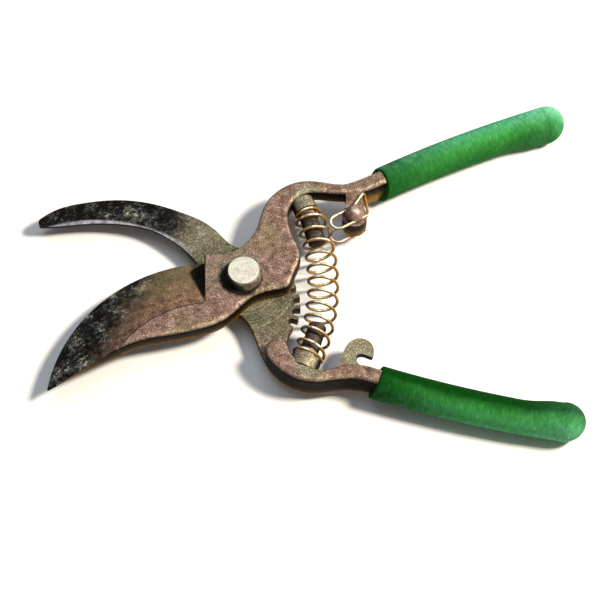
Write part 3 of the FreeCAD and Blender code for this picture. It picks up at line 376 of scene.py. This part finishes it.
    # Fine salt-and-pepper grain over everything.
    grainy = add(tree, "ValToRGB", {"Fac": grain}, stops=(
        (0.30, "#0d0c0c"), (0.44, "#62605e"), (0.55, "#959290"), (0.69, "#fbf8f6")))
    colour = add(tree, "Mix", {0: 0.9, MIX: colour, OVER: grainy}, **OVERLAY)
    return {"colour": colour, "patches": patches, "grain": grain, "lying": lying}


def sap_crust(tree, spot):
    """Dried sap: near-black, with bluish scuffs and stuck flecks of bark and leaf.

    It returns the colour, and where the flecks are.
    """
    finish = bpy.context.scene.shears_forging
    leaning = add(tree, "Mapping", {"Vector": spot, "Rotation": (0, 0, math.radians(35)),
                                    "Scale": (1.0, 0.72, 1.0)}, vector_type="TEXTURE")
    smear = add(tree, "TexNoise", {"Vector": leaning, "Scale": 1 / (1.9 * MM), "Detail": 7.0,
                                   "Roughness": 0.74, "Distortion": 0.4})
    wide = add(tree, "TexNoise", {"Vector": spot, "Scale": 1 / (7 * MM), "Detail": 3.0})
    smear = add(tree, "Math", {0: wide, 1: 0.55, 2: smear}, operation="MULTIPLY_ADD")
    crust = add(tree, "ValToRGB", {"Fac": smear}, stops=(
        (0.66, "#040302"), (0.755, "#0f0d0c"), (0.83, "#292a2b"), (0.91, "#50534f"),
        (1.0, "#a3a58e")))
    crust = add(tree, "Mix", {0: 0.12, MIX: crust, OVER: tuple(finish.sap)}, **RGB)
    fleck = add(tree, "TexNoise", {"Vector": leaning, "Scale": 1 / (0.9 * MM), "Detail": 2.0,
                                   "Roughness": 0.6})
    fleck = add(tree, "Math", {0: wide, 1: 0.45, 2: fleck}, operation="MULTIPLY_ADD")
    fleck = add(tree, "MapRange", {"Value": fleck, "From Min": 0.925, "From Max": 0.96})
    kind = add(tree, "TexNoise", {"Vector": spot, "Scale": 1 / (3 * MM), "Detail": 1.0})
    stuck = add(tree, "ValToRGB", {"Fac": kind}, stops=(
        (0.34, "#7d9a3c"), (0.42, "#b5b48c"), (0.52, "#d9d5c0"), (0.60, "#e6d490"),
        (0.68, "#cf9a4c")))
    crust = add(tree, "Mix", {0: fleck, MIX: crust, OVER: stuck}, **RGB)
    return crust, fleck


def sap_line(tree, spot, start, way, soft):
    """How much sap covers the jaw, 0 to 1, past a ragged line through start, onwards along way."""
    along = add(tree, "VectorMath", {0: spot, 1: start}, operation="SUBTRACT")
    along = add(tree, "VectorMath", {0: along, 1: way}, operation="DOT_PRODUCT", take="Value")
    ragged = add(tree, "TexNoise", {"Vector": spot, "Scale": 1 / (5 * MM), "Detail": 9.0,
                                    "Roughness": 0.8})
    along = add(tree, "Math", {0: ragged, 1: SAP_RAGGED, 2: along}, operation="MULTIPLY_ADD")
    return add(tree, "MapRange", {"Value": along, "From Min": SAP_RAGGED / 2 - soft,
                                  "From Max": SAP_RAGGED / 2 + soft}, **SMOOTH)


def lay_sap(tree, skin, spot, cover):
    """Lays sap over a forging's skin where cover says, and finishes the surface."""
    crust, fleck = sap_crust(tree, spot)
    cover = add(tree, "Math", {0: cover, 1: skin["lying"]}, operation="MULTIPLY")
    colour = add(tree, "Mix", {0: cover, MIX: skin["colour"], OVER: crust}, **RGB)
    metal = add(tree, "Math", {0: cover, 1: -1.0, 2: skin["lying"]}, operation="MULTIPLY_ADD",
                use_clamp=True)
    gleam = add(tree, "MapRange", {"Value": metal, "To Min": 0.05, "To Max": 0.2})
    metal = add(tree, "Math", {0: metal, 1: 0.36}, operation="MULTIPLY")
    roughness = add(tree, "MapRange", {"Value": skin["patches"], "From Min": 0.3, "From Max": 0.7,
                                       "To Min": 0.62, "To Max": 0.38})
    relief = add(tree, "Math", {0: fleck, 1: cover}, operation="MULTIPLY")
    relief = add(tree, "Math", {0: relief, 1: 1.2, 2: skin["grain"]}, operation="MULTIPLY_ADD")
    finish_material(tree, colour, metal, roughness, relief, depth=0.18 * MM,
                    **{"Specular IOR Level": gleam})


def forged_blade():
    """Drop-forged, hollow-ground carbon steel, then years in a pocket.

    The eye sees warm patina with a fine grain, a golden-brown hollow inside a thin dark line, an
    olive stain towards the cutting edge, and black sap with bluish scuffs from the point to the
    middle and along the edge.
    """
    material, tree, spot, normal = start_material("forged steel, hollow-ground blade")
    skin = forged_skin(tree, spot, normal, BLADE_BARE, BLADE_BARE_REACH, (UPPER_SEAT,),
                       BLADE_UNDERSIDE)
    # The hollow and its line, both told by the distance from the centre of the edge's arc.
    flat = add(tree, "VectorMath", {0: spot, 1: FROM_ABOVE}, operation="MULTIPLY")
    reach = add(tree, "VectorMath", {0: flat, 1: EDGE_CENTRE}, operation="DISTANCE", take="Value")
    across = add(tree, "SeparateXYZ", {0: spot}, take="X")
    ahead = add(tree, "MapRange", {"Value": across, "From Min": SHOULDER_X,
                                   "From Max": SHOULDER_X - 0.5 * MM})
    hollow = add(tree, "MapRange", {"Value": reach, "From Min": HOLLOW_REACH,
                                    "From Max": HOLLOW_REACH + MM})
    hollow = add(tree, "Math", {0: hollow, 1: ahead}, operation="MULTIPLY")
    colour = add(tree, "Mix", {0: hollow, MIX: skin["colour"], OVER: linear("#f6e6d4")}, **TIMES)
    # Sap stains the steel olive towards the cutting edge.
    olive = add(tree, "MapRange", {"Value": reach, "From Min": HOLLOW_REACH + 4 * MM,
                                   "From Max": EDGE_REACH - 3 * MM, "To Max": 0.5})
    olive = add(tree, "Math", {0: olive, 1: hollow}, operation="MULTIPLY")
    colour = add(tree, "Mix", {0: olive, MIX: colour, OVER: linear("#6b6a4c")}, **RGB)
    line = add(tree, "Math", {0: reach, 1: HOLLOW_REACH}, operation="SUBTRACT")
    line = add(tree, "Math", {0: line}, operation="ABSOLUTE")
    line = add(tree, "MapRange", {"Value": line, "From Min": LINE_WIDTH[0],
                                  "From Max": LINE_WIDTH[1], "To Min": 0.75, "To Max": 0.0})
    line = add(tree, "Math", {0: line, 1: ahead}, operation="MULTIPLY")
    colour = add(tree, "Mix", {0: line, MIX: colour, OVER: linear("#2a1a14")}, **RGB)
    # Painted shadow, black in the corner under the shoulder, where the shoulder's wall shades the
    # hollow.
    up = add(tree, "SeparateXYZ", {0: spot}, take="Y")
    sides = []
    for slope, limit in CORNER_LINES:
        side = add(tree, "Math", {0: up, 1: slope, 2: across}, operation="MULTIPLY_ADD")
        sides.append(add(tree, "Math", {0: side, 1: limit}, operation="SUBTRACT"))
    shoulder_shadow = add(tree, "Math", {0: sides[0], 1: sides[1], 2: CORNER_BEND}, operation="SMOOTH_MIN")
    shoulder_shadow = add(tree, "MapRange", {"Value": shoulder_shadow, "From Min": CORNER_SOFT[0],
                                    "From Max": CORNER_SOFT[1], "To Max": 0.96})
    shoulder_shadow = add(tree, "Math", {0: shoulder_shadow, 1: ahead}, operation="MULTIPLY")
    # Painted shadow of the bolt's head: a black crescent on its -X side, away from the key light.
    left_shade = add(tree, "VectorMath", {0: flat, 1: BOLT_SHADOW_SPOT}, operation="DISTANCE", take="Value")
    left_shade = add(tree, "Math", {0: skin["patches"], 1: 2 * MM, 2: left_shade},
                 operation="MULTIPLY_ADD")
    left_shade = add(tree, "MapRange", {"Value": left_shade, "From Min": BOLT_SHADOW_REACH[0],
                                    "From Max": BOLT_SHADOW_REACH[1], "To Max": 0.94})
    # Both painted shadows are black, and neither gleams like metal.
    painted_shadows = add(tree, "Math", {0: shoulder_shadow, 1: left_shade}, operation="MAXIMUM")
    skin["colour"] = add(tree, "Mix", {0: painted_shadows, MIX: colour, OVER: linear("#080605")}, **RGB)
    clear = add(tree, "Math", {0: 1.0, 1: painted_shadows}, operation="SUBTRACT")
    skin["lying"] = add(tree, "Math", {0: skin["lying"], 1: clear}, operation="MULTIPLY")
    # Sap from the point to a slanting line, and thicker along the edge.
    cover = sap_line(tree, spot, *BLADE_SAP)
    rim = add(tree, "MapRange", {"Value": reach, "From Min": EDGE_REACH - 5 * MM,
                                 "From Max": EDGE_REACH - 0.5 * MM, "To Max": 0.75})
    forward = add(tree, "MapRange", {"Value": across, "From Min": EDGE_SAP_X[0],
                                     "From Max": EDGE_SAP_X[1]})
    rim = add(tree, "Math", {0: rim, 1: forward}, operation="MULTIPLY")
    cover = add(tree, "Math", {0: cover, 1: rim}, operation="MAXIMUM")
    lay_sap(tree, skin, spot, cover)
    return material


def forged_hook():
    """Drop-forged carbon steel: the blade arm rubs its ring, and its jaw holds the branch.

    The eye sees black sap with pale flecks on the jaw, a bluish rim polished along its concave
    edge, grey-green steel on the ring with fine curved scratches round the pivot, and patina on
    the handle.
    """
    material, tree, spot, normal = start_material("forged steel, hook arm")
    skin = forged_skin(tree, spot, normal, HOOK_BARE, HOOK_BARE_REACH, (LOWER_SEAT, CATCH),
                       HOOK_UNDERSIDE)
    # Scratches that the blade arm has turned into the plate, in arcs round the pivot.
    flat = add(tree, "VectorMath", {0: spot, 1: FROM_ABOVE}, operation="MULTIPLY")
    reach = add(tree, "VectorMath", {0: flat}, operation="LENGTH", take="Value")
    height = add(tree, "SeparateXYZ", {0: spot}, take="Z")
    round_pivot = add(tree, "CombineXYZ", {"X": reach, "Y": height})
    arcs = add(tree, "TexNoise", {"Vector": round_pivot, "Scale": 1 / SCRATCH_SPACING,
                                  "Detail": 3.0})
    plate = add(tree, "MapRange", {"Value": reach, "From Min": SCRATCH_REACH[0],
                                   "From Max": SCRATCH_REACH[1], "To Min": 0.5, "To Max": 0.0})
    plate = add(tree, "Math", {0: plate, 1: skin["lying"]}, operation="MULTIPLY")
    arcs = add(tree, "ValToRGB", {"Fac": arcs}, stops=(
        (0.35, "#34362a"), (0.5, "#5e6052"), (0.66, "#c8ccb2")))
    colour = add(tree, "Mix", {0: plate, MIX: skin["colour"], OVER: arcs}, **OVERLAY)
    cover = sap_line(tree, spot, *HOOK_SAP)
    # The rim along the jaw's concave edge, an arc nearly enough, is rubbed clean by every branch.
    reach = add(tree, "VectorMath", {0: flat, 1: RIM_CENTRE}, operation="DISTANCE", take="Value")
    reach = add(tree, "Math", {0: cover, 1: MM, 2: reach}, operation="MULTIPLY_ADD")
    rim = add(tree, "MapRange", {"Value": reach, "From Min": RIM_REACH + RIM_WIDTH[0],
                                 "From Max": RIM_REACH + RIM_WIDTH[1]})
    across = add(tree, "SeparateXYZ", {0: spot}, take="X")
    ahead = add(tree, "MapRange", {"Value": across, "From Min": RIM_X[0], "From Max": RIM_X[1]})
    rim = add(tree, "Math", {0: rim, 1: ahead}, operation="MULTIPLY")
    rim = add(tree, "Math", {0: rim, 1: skin["lying"]}, operation="MULTIPLY")
    clean = add(tree, "ValToRGB", {"Fac": skin["patches"]}, stops=(
        (0.36, "#5c5d66"), (0.5, "#9b9da6"), (0.66, "#c9cad0")))
    skin["colour"] = add(tree, "Mix", {0: rim, MIX: colour, OVER: clean}, **RGB)
    kept = add(tree, "MapRange", {"Value": rim, "To Min": 1.0, "To Max": 0.15})
    cover = add(tree, "Math", {0: cover, 1: kept}, operation="MULTIPLY")
    lay_sap(tree, skin, spot, cover)
    return material


def turned_steel(name, wide, bright, dull, side, left_shade_depth):
    """Mild steel turned on a lathe and dulled: the tool's rings show on the flat face.

    wide is how wide a patch of tarnish is, side colours all that isn't flat, and greased is how dark
    the painted shade makes the side that faces the jaws, -X, away from the key light.
    """
    material, tree, spot, normal = start_material(name)
    tarnish = add(tree, "TexNoise", {"Vector": spot, "Scale": 1 / wide, "Detail": 7.0,
                                     "Roughness": 0.7})
    fine = add(tree, "TexNoise", {"Vector": spot, "Scale": 1 / (0.35 * MM), "Detail": 2.0})
    face = add(tree, "ValToRGB", {"Fac": tarnish}, stops=(
        (0.34, dull), (0.56, bright), (0.75, bright)))
    rings = add(tree, "TexWave", {"Vector": spot, "Scale": math.pi / 10 / RING_SPACING,
                                  "Distortion": 0.8, "Detail": 1.0, "Detail Scale": 2.0},
                take="Fac", wave_type="RINGS", rings_direction="Z")
    facing_key, _, upright = add(tree, "SeparateXYZ", {0: normal}, take=ALL)
    flat = add(tree, "MapRange", {"Value": upright, "From Min": 0.9, "From Max": 0.99})
    turned = add(tree, "MapRange", {"Value": rings, "To Min": 0.38, "To Max": 0.6})
    face = add(tree, "Mix", {0: 0.5, MIX: face, OVER: turned}, **OVERLAY)
    edge = add(tree, "ValToRGB", {"Fac": tarnish}, stops=(
        (0.34, dull), (0.6, side), (0.8, bright)))
    # Painted shade: the side facing -X, away from the key light, is darkened nearly black.
    left_shade = add(tree, "MapRange", {"Value": facing_key, "From Min": 0.2, "From Max": -0.5,
                                    "To Max": left_shade_depth})
    edge = add(tree, "Mix", {0: left_shade, MIX: edge, OVER: linear("#0b0806")}, **RGB)
    colour = add(tree, "Mix", {0: flat, MIX: edge, OVER: face}, **RGB)
    colour = add(tree, "Mix", {0: 0.5, MIX: colour, OVER: fine}, **OVERLAY)
    groove = add(tree, "Math", {0: rings, 1: flat}, operation="MULTIPLY")
    relief = add(tree, "Math", {0: fine, 1: 0.6, 2: groove}, operation="MULTIPLY_ADD")
    roughness = add(tree, "MapRange", {"Value": tarnish, "From Min": 0.3, "From Max": 0.7,
                                       "To Min": 0.6, "To Max": 0.42})
    finish_material(tree, colour, metallic=0.45, roughness=roughness, height=relief,
                    depth=0.03 * MM)
    return material


def drawn_wire(name, bright, golden, dark):
    """Hard-drawn spring steel wire, mottled by a film of rust and oil, with painted light: a painted
    highlight where it faces up, a painted golden floor reflection on its sides, painted shade
    beneath.
    """
    material, tree, spot, normal = start_material(name)
    film = add(tree, "TexNoise", {"Vector": spot, "Scale": 1 / (2.4 * MM), "Detail": 6.0,
                                  "Roughness": 0.7})
    fine = add(tree, "TexNoise", {"Vector": spot, "Scale": 1 / (0.3 * MM), "Detail": 2.0})
    # Painted light by the normal: pale where the wire faces up, golden on its sides, dark beneath.
    upright = add(tree, "SeparateXYZ", {0: normal}, take="Z")
    turned = add(tree, "Math", {0: film, 1: 1.5, 2: upright}, operation="MULTIPLY_ADD")
    turned = add(tree, "MapRange", {"Value": turned, "From Min": -0.25, "From Max": 1.75})
    colour = add(tree, "ValToRGB", {"Fac": turned}, stops=(
        (0.48, dark), (0.66, golden), (0.82, "#7a5c1e"), (0.93, bright), (1.0, "#f0eadb")))
    colour = add(tree, "Mix", {0: 0.4, MIX: colour, OVER: fine}, **OVERLAY)
    roughness = add(tree, "MapRange", {"Value": film, "From Min": 0.3, "From Max": 0.7,
                                       "To Min": 0.5, "To Max": 0.3})
    finish_material(tree, colour, metallic=0.25, roughness=roughness, height=fine,
                    depth=0.02 * MM)
    return material


def dipped_vinyl(name, mouth, angle, outward, turn, deep_and_shade):
    """Plastisol dipped over the handle and cured: soft and matt, mottled in short streaks.

    Palm and fingers fade the outer side to bluish green, partly a painted sheen, the inner side is
    darker, partly painted shade, and the swollen end has a chalky bloom, partly a painted highlight.
    GRIPS says what mouth, angle, outward, turn and unfaded are.
    """
    finish = bpy.context.scene.shears_grips
    material, tree, spot, normal = start_material(name)
    # X runs along the grip from its mouth, Y runs across it.
    placed = add(tree, "Mapping", {"Vector": spot, "Location": mouth, "Rotation": (0, 0, angle)},
                 vector_type="TEXTURE")
    along = add(tree, "SeparateXYZ", {0: placed}, take="X")
    thin = add(tree, "VectorMath", {0: placed, 1: (1.0, 0.3, 0.3)}, operation="MULTIPLY")
    streaks = add(tree, "TexNoise", {"Vector": thin, "Scale": 1 / finish.streak, "Detail": 5.0,
                                     "Roughness": 0.65, "Distortion": 0.4})
    clouds = add(tree, "TexNoise", {"Vector": placed, "Scale": 1 / (6 * MM), "Detail": 6.0,
                                    "Roughness": 0.65})
    facing = add(tree, "SeparateXYZ", {0: normal}, take="Y")
    facing = add(tree, "Math", {0: facing, 1: outward}, operation="MULTIPLY")
    facing = add(tree, "Math", {0: clouds, 1: 0.6, 2: facing}, operation="MULTIPLY_ADD")
    outer = add(tree, "MapRange", {"Value": facing, "From Min": turn + 0.1,
                                   "From Max": turn + 1.4}, **SMOOTH)
    inner = add(tree, "MapRange", {"Value": facing, "From Min": turn + 0.6,
                                   "From Max": turn - 0.5, "To Max": deep_and_shade}, **SMOOTH)
    colour = add(tree, "Mix", {0: outer, MIX: tuple(finish.vinyl), OVER: tuple(finish.faded_and_sheen)},
                 **RGB)
    # Deep green, partly unfaded vinyl and partly painted shade, on the inner side and near the
    # mouth, and over the swollen end a chalky bloom that is partly a painted highlight.
    near = add(tree, "MapRange", {"Value": along, "From Min": MOUTH_SHADE[0],
                                  "From Max": MOUTH_SHADE[1], "To Min": 0.3 + 0.65 * deep_and_shade,
                                  "To Max": 0.0}, **SMOOTH)
    deep = add(tree, "Math", {0: near, 1: inner}, operation="MAXIMUM")
    colour = add(tree, "Mix", {0: deep, MIX: colour, OVER: tuple(finish.deep)}, **RGB)
    reach = add(tree, "Math", {0: clouds, 1: 20 * MM, 2: along}, operation="MULTIPLY_ADD")
    bloom_and_highlight = add(tree, "MapRange", {"Value": reach, "From Min": CHALK_AND_HIGHLIGHT_END[0],
                                   "From Max": CHALK_AND_HIGHLIGHT_END[1]}, **SMOOTH)
    unshaded = add(tree, "MapRange", {"Value": outer, "To Min": 0.12, "To Max": 1.0})
    bloom_and_highlight = add(tree, "Math", {0: bloom_and_highlight, 1: unshaded}, operation="MULTIPLY")
    colour = add(tree, "Mix", {0: bloom_and_highlight, MIX: colour, OVER: tuple(finish.chalk_and_highlight)}, **RGB)
    # Pale mottle, warm scuffs, then the short streaks.
    mottle = add(tree, "TexNoise", {"Vector": placed, "Scale": 1 / (3.5 * MM), "Detail": 4.0,
                                    "Roughness": 0.6})
    mottle = add(tree, "MapRange", {"Value": mottle, "From Min": 0.42, "From Max": 0.72,
                                    "To Max": 0.32})
    mottle = add(tree, "Math", {0: mottle, 1: outer}, operation="MULTIPLY")
    colour = add(tree, "Mix", {0: mottle, MIX: colour, OVER: tuple(finish.chalk_and_highlight)}, **RGB)
    scuff = add(tree, "MapRange", {"Value": clouds, "From Min": 0.5, "From Max": 0.7,
                                   "To Max": 0.1})
    scuff = add(tree, "Math", {0: scuff, 1: outer}, operation="MULTIPLY")
    colour = add(tree, "Mix", {0: scuff, MIX: colour, OVER: linear("#7f9a4c")}, **RGB)
    streaky = add(tree, "ValToRGB", {"Fac": streaks}, stops=(
        (0.30, "#404040"), (0.46, "#737373"), (0.56, "#888888"), (0.70, "#c4c4c4")))
    colour = add(tree, "Mix", {0: 0.6, MIX: colour, OVER: streaky}, **OVERLAY)
    roughness = add(tree, "MapRange", {"Value": streaks, "From Min": 0.3, "From Max": 0.7,
                                       "To Min": 0.7, "To Max": 0.85})
    finish_material(tree, colour, metallic=0.0, roughness=roughness, height=streaks,
                    depth=0.06 * MM, **{"Specular IOR Level": 0.04})
    return material


def dress(name, material):
    """Gives one CAD piece its finish."""
    slots = NODES[name].data.materials
    slots.clear()
    slots.append(material)


# ---------------------------------------------------------------- operators


class SHEARS_OT_forged_arms(bpy.types.Operator):
    """Give the two forged arms their patina, scale and sap"""

    bl_idname = "shears.forged_arms"
    bl_label = "Forged Arms"

    def execute(self, context):
        dress("blade_arm", forged_blade())
        dress("hook_arm", forged_hook())
        return {"FINISHED"}


class SHEARS_OT_dipped_grips(bpy.types.Operator):
    """Give the two dipped grips their mottled vinyl"""

    bl_idname = "shears.dipped_grips"
    bl_label = "Dipped Grips"

    def execute(self, context):
        for name, *shape in GRIPS:
            dress(name, dipped_vinyl("dipped vinyl, " + name.replace("_", " "), *shape))
        return {"FINISHED"}


class SHEARS_OT_pivot_hardware(bpy.types.Operator):
    """Give the pivot's bolt, nut and washer their turned steel"""

    bl_idname = "shears.pivot_hardware"
    bl_label = "Pivot Hardware"

    def execute(self, context):
        bolt = turned_steel("turned steel, bolt", wide=3 * MM, bright="#cfccbd", dull="#aeaa98",
                            side="#5a4836", left_shade_depth=0.95)
        nut = turned_steel("pressed steel, nut and washer", wide=2 * MM, bright="#a39c88",
                           dull="#6f6450", side="#8a7c62", left_shade_depth=0.0)
        dress("pivot_bolt", bolt)
        dress("pivot_nut", nut)
        dress("pivot_washer", nut)
        return {"FINISHED"}


class SHEARS_OT_latch(bpy.types.Operator):
    """Give the latch's rivet, washers and wire bail their steel"""

    bl_idname = "shears.latch"
    bl_label = "Latch"

    def execute(self, context):
        dress("latch_rivet", turned_steel(
            "upset steel, rivet", wide=1.6 * MM, bright="#cdbcb2", dull="#6f5148",
            side="#a38478", left_shade_depth=0.4))
        dress("latch_washers", turned_steel(
            "pressed steel, latch washers", wide=1.5 * MM, bright="#8d7f68", dull="#5a4632",
            side="#7a6646", left_shade_depth=0.4))
        dress("latch_bail", drawn_wire(
            "drawn wire, bail", bright="#c4b994", golden="#b07a14", dark="#2a1c0c"))
        return {"FINISHED"}


class SHEARS_OT_coil_spring(bpy.types.Operator):
    """Make a smooth-shaded copy of the coil spring between the two handles, in place of the imported
    one
    """

    bl_idname = "shears.coil_spring"
    bl_label = "Coil Spring"

    def execute(self, context):
        spring = bpy.data.objects.new("coil_spring", NODES["main_spring"].data.copy())
        context.scene.collection.objects.link(spring)
        bpy.ops.object.select_all(action="DESELECT")
        context.view_layer.objects.active = spring
        spring.select_set(True)
        bpy.ops.object.mode_set(mode="EDIT")
        bpy.ops.mesh.select_all(action="SELECT")
        bpy.ops.mesh.remove_doubles(threshold=WELD_REACH)
        bpy.ops.mesh.customdata_custom_splitnormals_clear()
        bpy.ops.object.mode_set(mode="OBJECT")
        bpy.ops.object.shade_smooth_by_angle(angle=SHARP_ANGLE)
        spring.data.materials.clear()
        spring.data.materials.append(drawn_wire(
            "drawn wire, spring", bright="#a39670", golden="#b47c10", dark="#241704"))
        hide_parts("main_spring")
        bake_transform(spring)
        return {"FINISHED"}


class SHEARS_OT_studio(bpy.types.Operator):
    """Lay the floor and set the lights and the camera"""

    bl_idname = "shears.studio"
    bl_label = "Studio"

    def execute(self, context):
        studio = context.scene.shears_studio
        bpy.ops.object.select_all(action="DESELECT")
        bpy.ops.mesh.primitive_plane_add(size=FLOOR_SIZE, location=FLOOR_PLACE)
        floor = context.active_object
        floor.name = "floor"
        bpy.ops.object.transform_apply(location=True, rotation=False, scale=False)
        material, tree, spot, _ = start_material("matt paper, floor")
        fibre = add(tree, "TexNoise", {"Vector": spot, "Scale": 1 / (1.5 * MM), "Detail": 3.0})
        roughness = add(tree, "MapRange", {"Value": fibre, "To Min": 0.85, "To Max": 0.95})
        finish_material(tree, tuple(studio.floor), metallic=0.0, roughness=roughness,
                        height=fibre, depth=0.01 * MM)
        floor.data.materials.append(material)
        for name, place, size, colour in LIGHTS:
            bpy.ops.object.light_add(type="AREA", location=place)
            light = context.active_object
            light.name = name
            light.data.size = size
            light.data.energy = getattr(studio, name)
            light.data.color = linear(colour)[:3]
            light.rotation_euler = (-light.location).to_track_quat("-Z", "Y").to_euler()
        world = bpy.data.worlds.new("studio")
        context.scene.world = world
        world.use_nodes = True
        air = world.node_tree.nodes["Background"].inputs
        air["Color"].default_value = linear(AIR_COLOUR)
        air["Strength"].default_value = AIR_STRENGTH
        context.scene.view_settings.view_transform = "Standard"
        bpy.ops.object.camera_add(location=CAMERA_PLACE, rotation=(studio.tilt, 0, 0))
        camera = context.active_object
        camera.name = "camera"
        camera.data.lens = studio.lens
        camera.data.sensor_width = SENSOR_WIDTH
        camera.data.clip_start = NEAR_CLIP
        context.scene.camera = camera
        return {"FINISHED"}


class SHEARS_PT_panel(bpy.types.Panel):
    """The sizes and colours of the shears, and the steps that make them"""

    bl_idname = "SHEARS_PT_panel"
    bl_label = "Pruning Shears"
    bl_space_type = "VIEW_3D"
    bl_region_type = "UI"
    bl_category = "Shears"

    def draw(self, context):
        for label, group, operators in STEPS:
            box = self.layout.box()
            box.label(text=label)
            settings = getattr(context.scene, group, None)
            for field in getattr(settings, "__annotations__", {}):
                box.prop(settings, field)
            for operator in operators:
                box.operator(operator.bl_idname)


# What the panel lists, in the order in which it is made: label, settings, operators.
STEPS = (
    ("Forgings", "shears_forging", (SHEARS_OT_forged_arms,)),
    ("Grips", "shears_grips", (SHEARS_OT_dipped_grips,)),
    ("Pivot and latch", "", (SHEARS_OT_pivot_hardware, SHEARS_OT_latch)),
    ("Spring", "shears_spring", (SHEARS_OT_coil_spring,)),
    ("Studio", "shears_studio", (SHEARS_OT_studio,)),
)
# Where the scene keeps each group of settings.
GROUPS = (
    ("shears_forging", ForgingFinish),
    ("shears_grips", GripFinish),
    ("shears_spring", SpringShape),
    ("shears_studio", Studio),
)


def register():
    """Registers the settings, the operators and the panel."""
    for name, group in GROUPS:
        bpy.utils.register_class(group)
        setattr(bpy.types.Scene, name, bpy.props.PointerProperty(type=group))
    for _, _, operators in STEPS:
        for operator in operators:
            bpy.utils.register_class(operator)
    bpy.utils.register_class(SHEARS_PT_panel)


def unregister():
    """Takes everything that register added away again."""
    bpy.utils.unregister_class(SHEARS_PT_panel)
    for _, _, operators in reversed(STEPS):
        for operator in reversed(operators):
            bpy.utils.unregister_class(operator)
    for name, group in reversed(GROUPS):
        delattr(bpy.types.Scene, name)
        bpy.utils.unregister_class(group)


def main():
    """Makes every piece in order."""
    register()
    for _, _, operators in STEPS:
        for operator in operators:
            group, step = operator.bl_idname.split(".")
            getattr(getattr(bpy.ops, group), step)()


if __name__ == "__main__":
    main()
